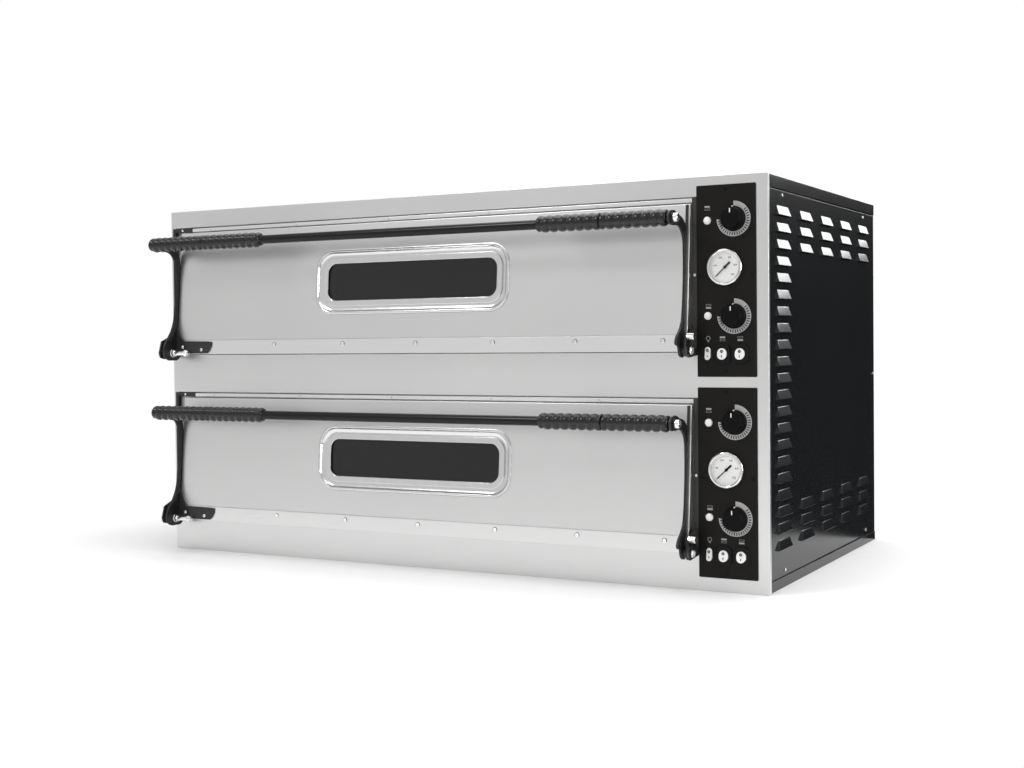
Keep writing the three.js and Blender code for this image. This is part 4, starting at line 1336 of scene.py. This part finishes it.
# %% Turn the gland
GLAND_X, GLAND_Z = 600, 90
GLAND_BODY = [(7, -740), (12, -740), (12, -752), (17, -752), (17, -759), (16.2, -760)]
GLAND_CAP = [(14, -763), (12.4, -768), (11, -771.6), (8, -772), (7, -771)]
gland = turned("cable_gland.finished", GLAND_BODY + GLAND_CAP, GLAND_X, GLAND_Z, 48)
nut = rod("gland nut", 18 * MM, at(GLAND_X, 752.4, GLAND_Z), at(GLAND_X, 757.5, GLAND_Z), 6)
cut(soften(nut, 0.8 * MM, 2), rod("bore", 15 * MM, at(GLAND_X, 750, GLAND_Z), at(GLAND_X, 760, GLAND_Z)))
settle(join(gland.name, [gland, nut]), "cabinet", "gland_plastic", GLAND, "cable_gland")

# %% [markdown]
# ## The floor
# The oven stands on a plain pale floor. It ends just behind the oven and a little to its right, because
# the glossy black side would otherwise mirror it as a grey haze along its foot.

# %% Lay the floor
bpy.ops.object.select_all(action="DESELECT")
bpy.ops.mesh.primitive_plane_add(size=1, location=(-1.55, -1.53, 0))
floor = bpy.context.object
floor.name = "floor"
floor.scale = (4.9, 3.9, 1)
bpy.ops.object.transform_apply(location=True, rotation=True, scale=True)
FLOOR = Finish("pale floor")
speck = FLOOR.noise(30, 2)
FLOOR.set(Base_Color=FLOOR.mix(speck, grey(0.93), grey(0.97)), Roughness=0.8 + speck * 0.1)
floor.data.materials.append(FLOOR.material)
print("floor:", floor.dimensions.x, "by", round(floor.dimensions.y, 2), "m")

# %% [markdown]
# ## The studio around the oven
# The world is a bright tent in front of the oven and overhead, and a dark room behind it. The steel
# front mirrors the tent evenly, and the black casing mirrors the dark room, so only what tilts upwards
# or forwards on it lights up. The camera itself sees a plain white sweep.

# %% Pitch the tent
def tent(name):
    """Light from the front and from above, a dark room at the back, and white where the camera looks."""
    world = bpy.data.worlds.new(name)
    world.use_nodes = True
    tree = world.node_tree
    background = tree.nodes["Background"]
    background.inputs["Color"].default_value = (1, 1, 1, 1)

    def node(kind, operation=None, **links):
        new = tree.nodes.new(kind)
        if operation:
            new.operation = operation
        for key, value in links.items():
            socket = new.inputs[int(key[1:])]
            if isinstance(value, (int, float)):
                socket.default_value = value
            else:
                tree.links.new(value, socket)
        return new.outputs[0]

    sight = tree.nodes.new("ShaderNodeTexCoord").outputs["Generated"]
    split = tree.nodes.new("ShaderNodeSeparateXYZ")
    tree.links.new(sight, split.inputs[0])
    front = node("ShaderNodeMapRange", _0=split.outputs["Y"], _1=0.25, _2=-0.45)
    above = node("ShaderNodeMapRange", _0=split.outputs["Z"], _1=0.06, _2=0.3)
    either = node("ShaderNodeMath", "MAXIMUM", _0=front, _1=above)
    level = node("ShaderNodeMath", "MULTIPLY_ADD", _0=either, _1=0.66, _2=0.02)
    straight = tree.nodes.new("ShaderNodeLightPath").outputs["Is Camera Ray"]
    seen = node("ShaderNodeMath", "MAXIMUM", _0=level, _1=straight)
    tree.links.new(seen, background.inputs["Strength"])
    return world


bpy.context.scene.world = tent("studio")
bpy.context.scene.view_settings.view_transform = "Standard"
print("world:", bpy.context.scene.world.name)

# %% [markdown]
# ## The lights
# Four soft boxes model the shape: one overhead, a small one at the front left for the sparkle on bolts
# and grips, one low at the right, and one behind the oven on the right, which lights the sloping
# louvres and leaves the flat side dark.

# %% Hang the lights
def soft_light(name, place, target, size, power):
    data = bpy.data.lights.new(name, "AREA")
    data.shape = "RECTANGLE"
    data.size, data.size_y = size
    data.energy = power
    light = bpy.data.objects.new(name, data)
    bpy.context.collection.objects.link(light)
    light.location = place
    light.rotation_euler = (Vector(target) - Vector(place)).to_track_quat("-Z", "Y").to_euler()


soft_light("overhead", (0.3, 0.2, 3.0), (0, 0, 0.4), (3, 3), 70)
soft_light("front left", (-1.3, -2.4, 2.7), (0, 0, 0.4), (0.7, 0.7), 25)
soft_light("right", (3.2, -0.3, 0.7), (0.7, 0, 0.4), (0.6, 1.4), 36)
soft_light("back right", (1.3, 3.2, 1.8), (0.7, 0.1, 0.6), (1.7, 1.1), 30)

# %% [markdown]
# ## Closing
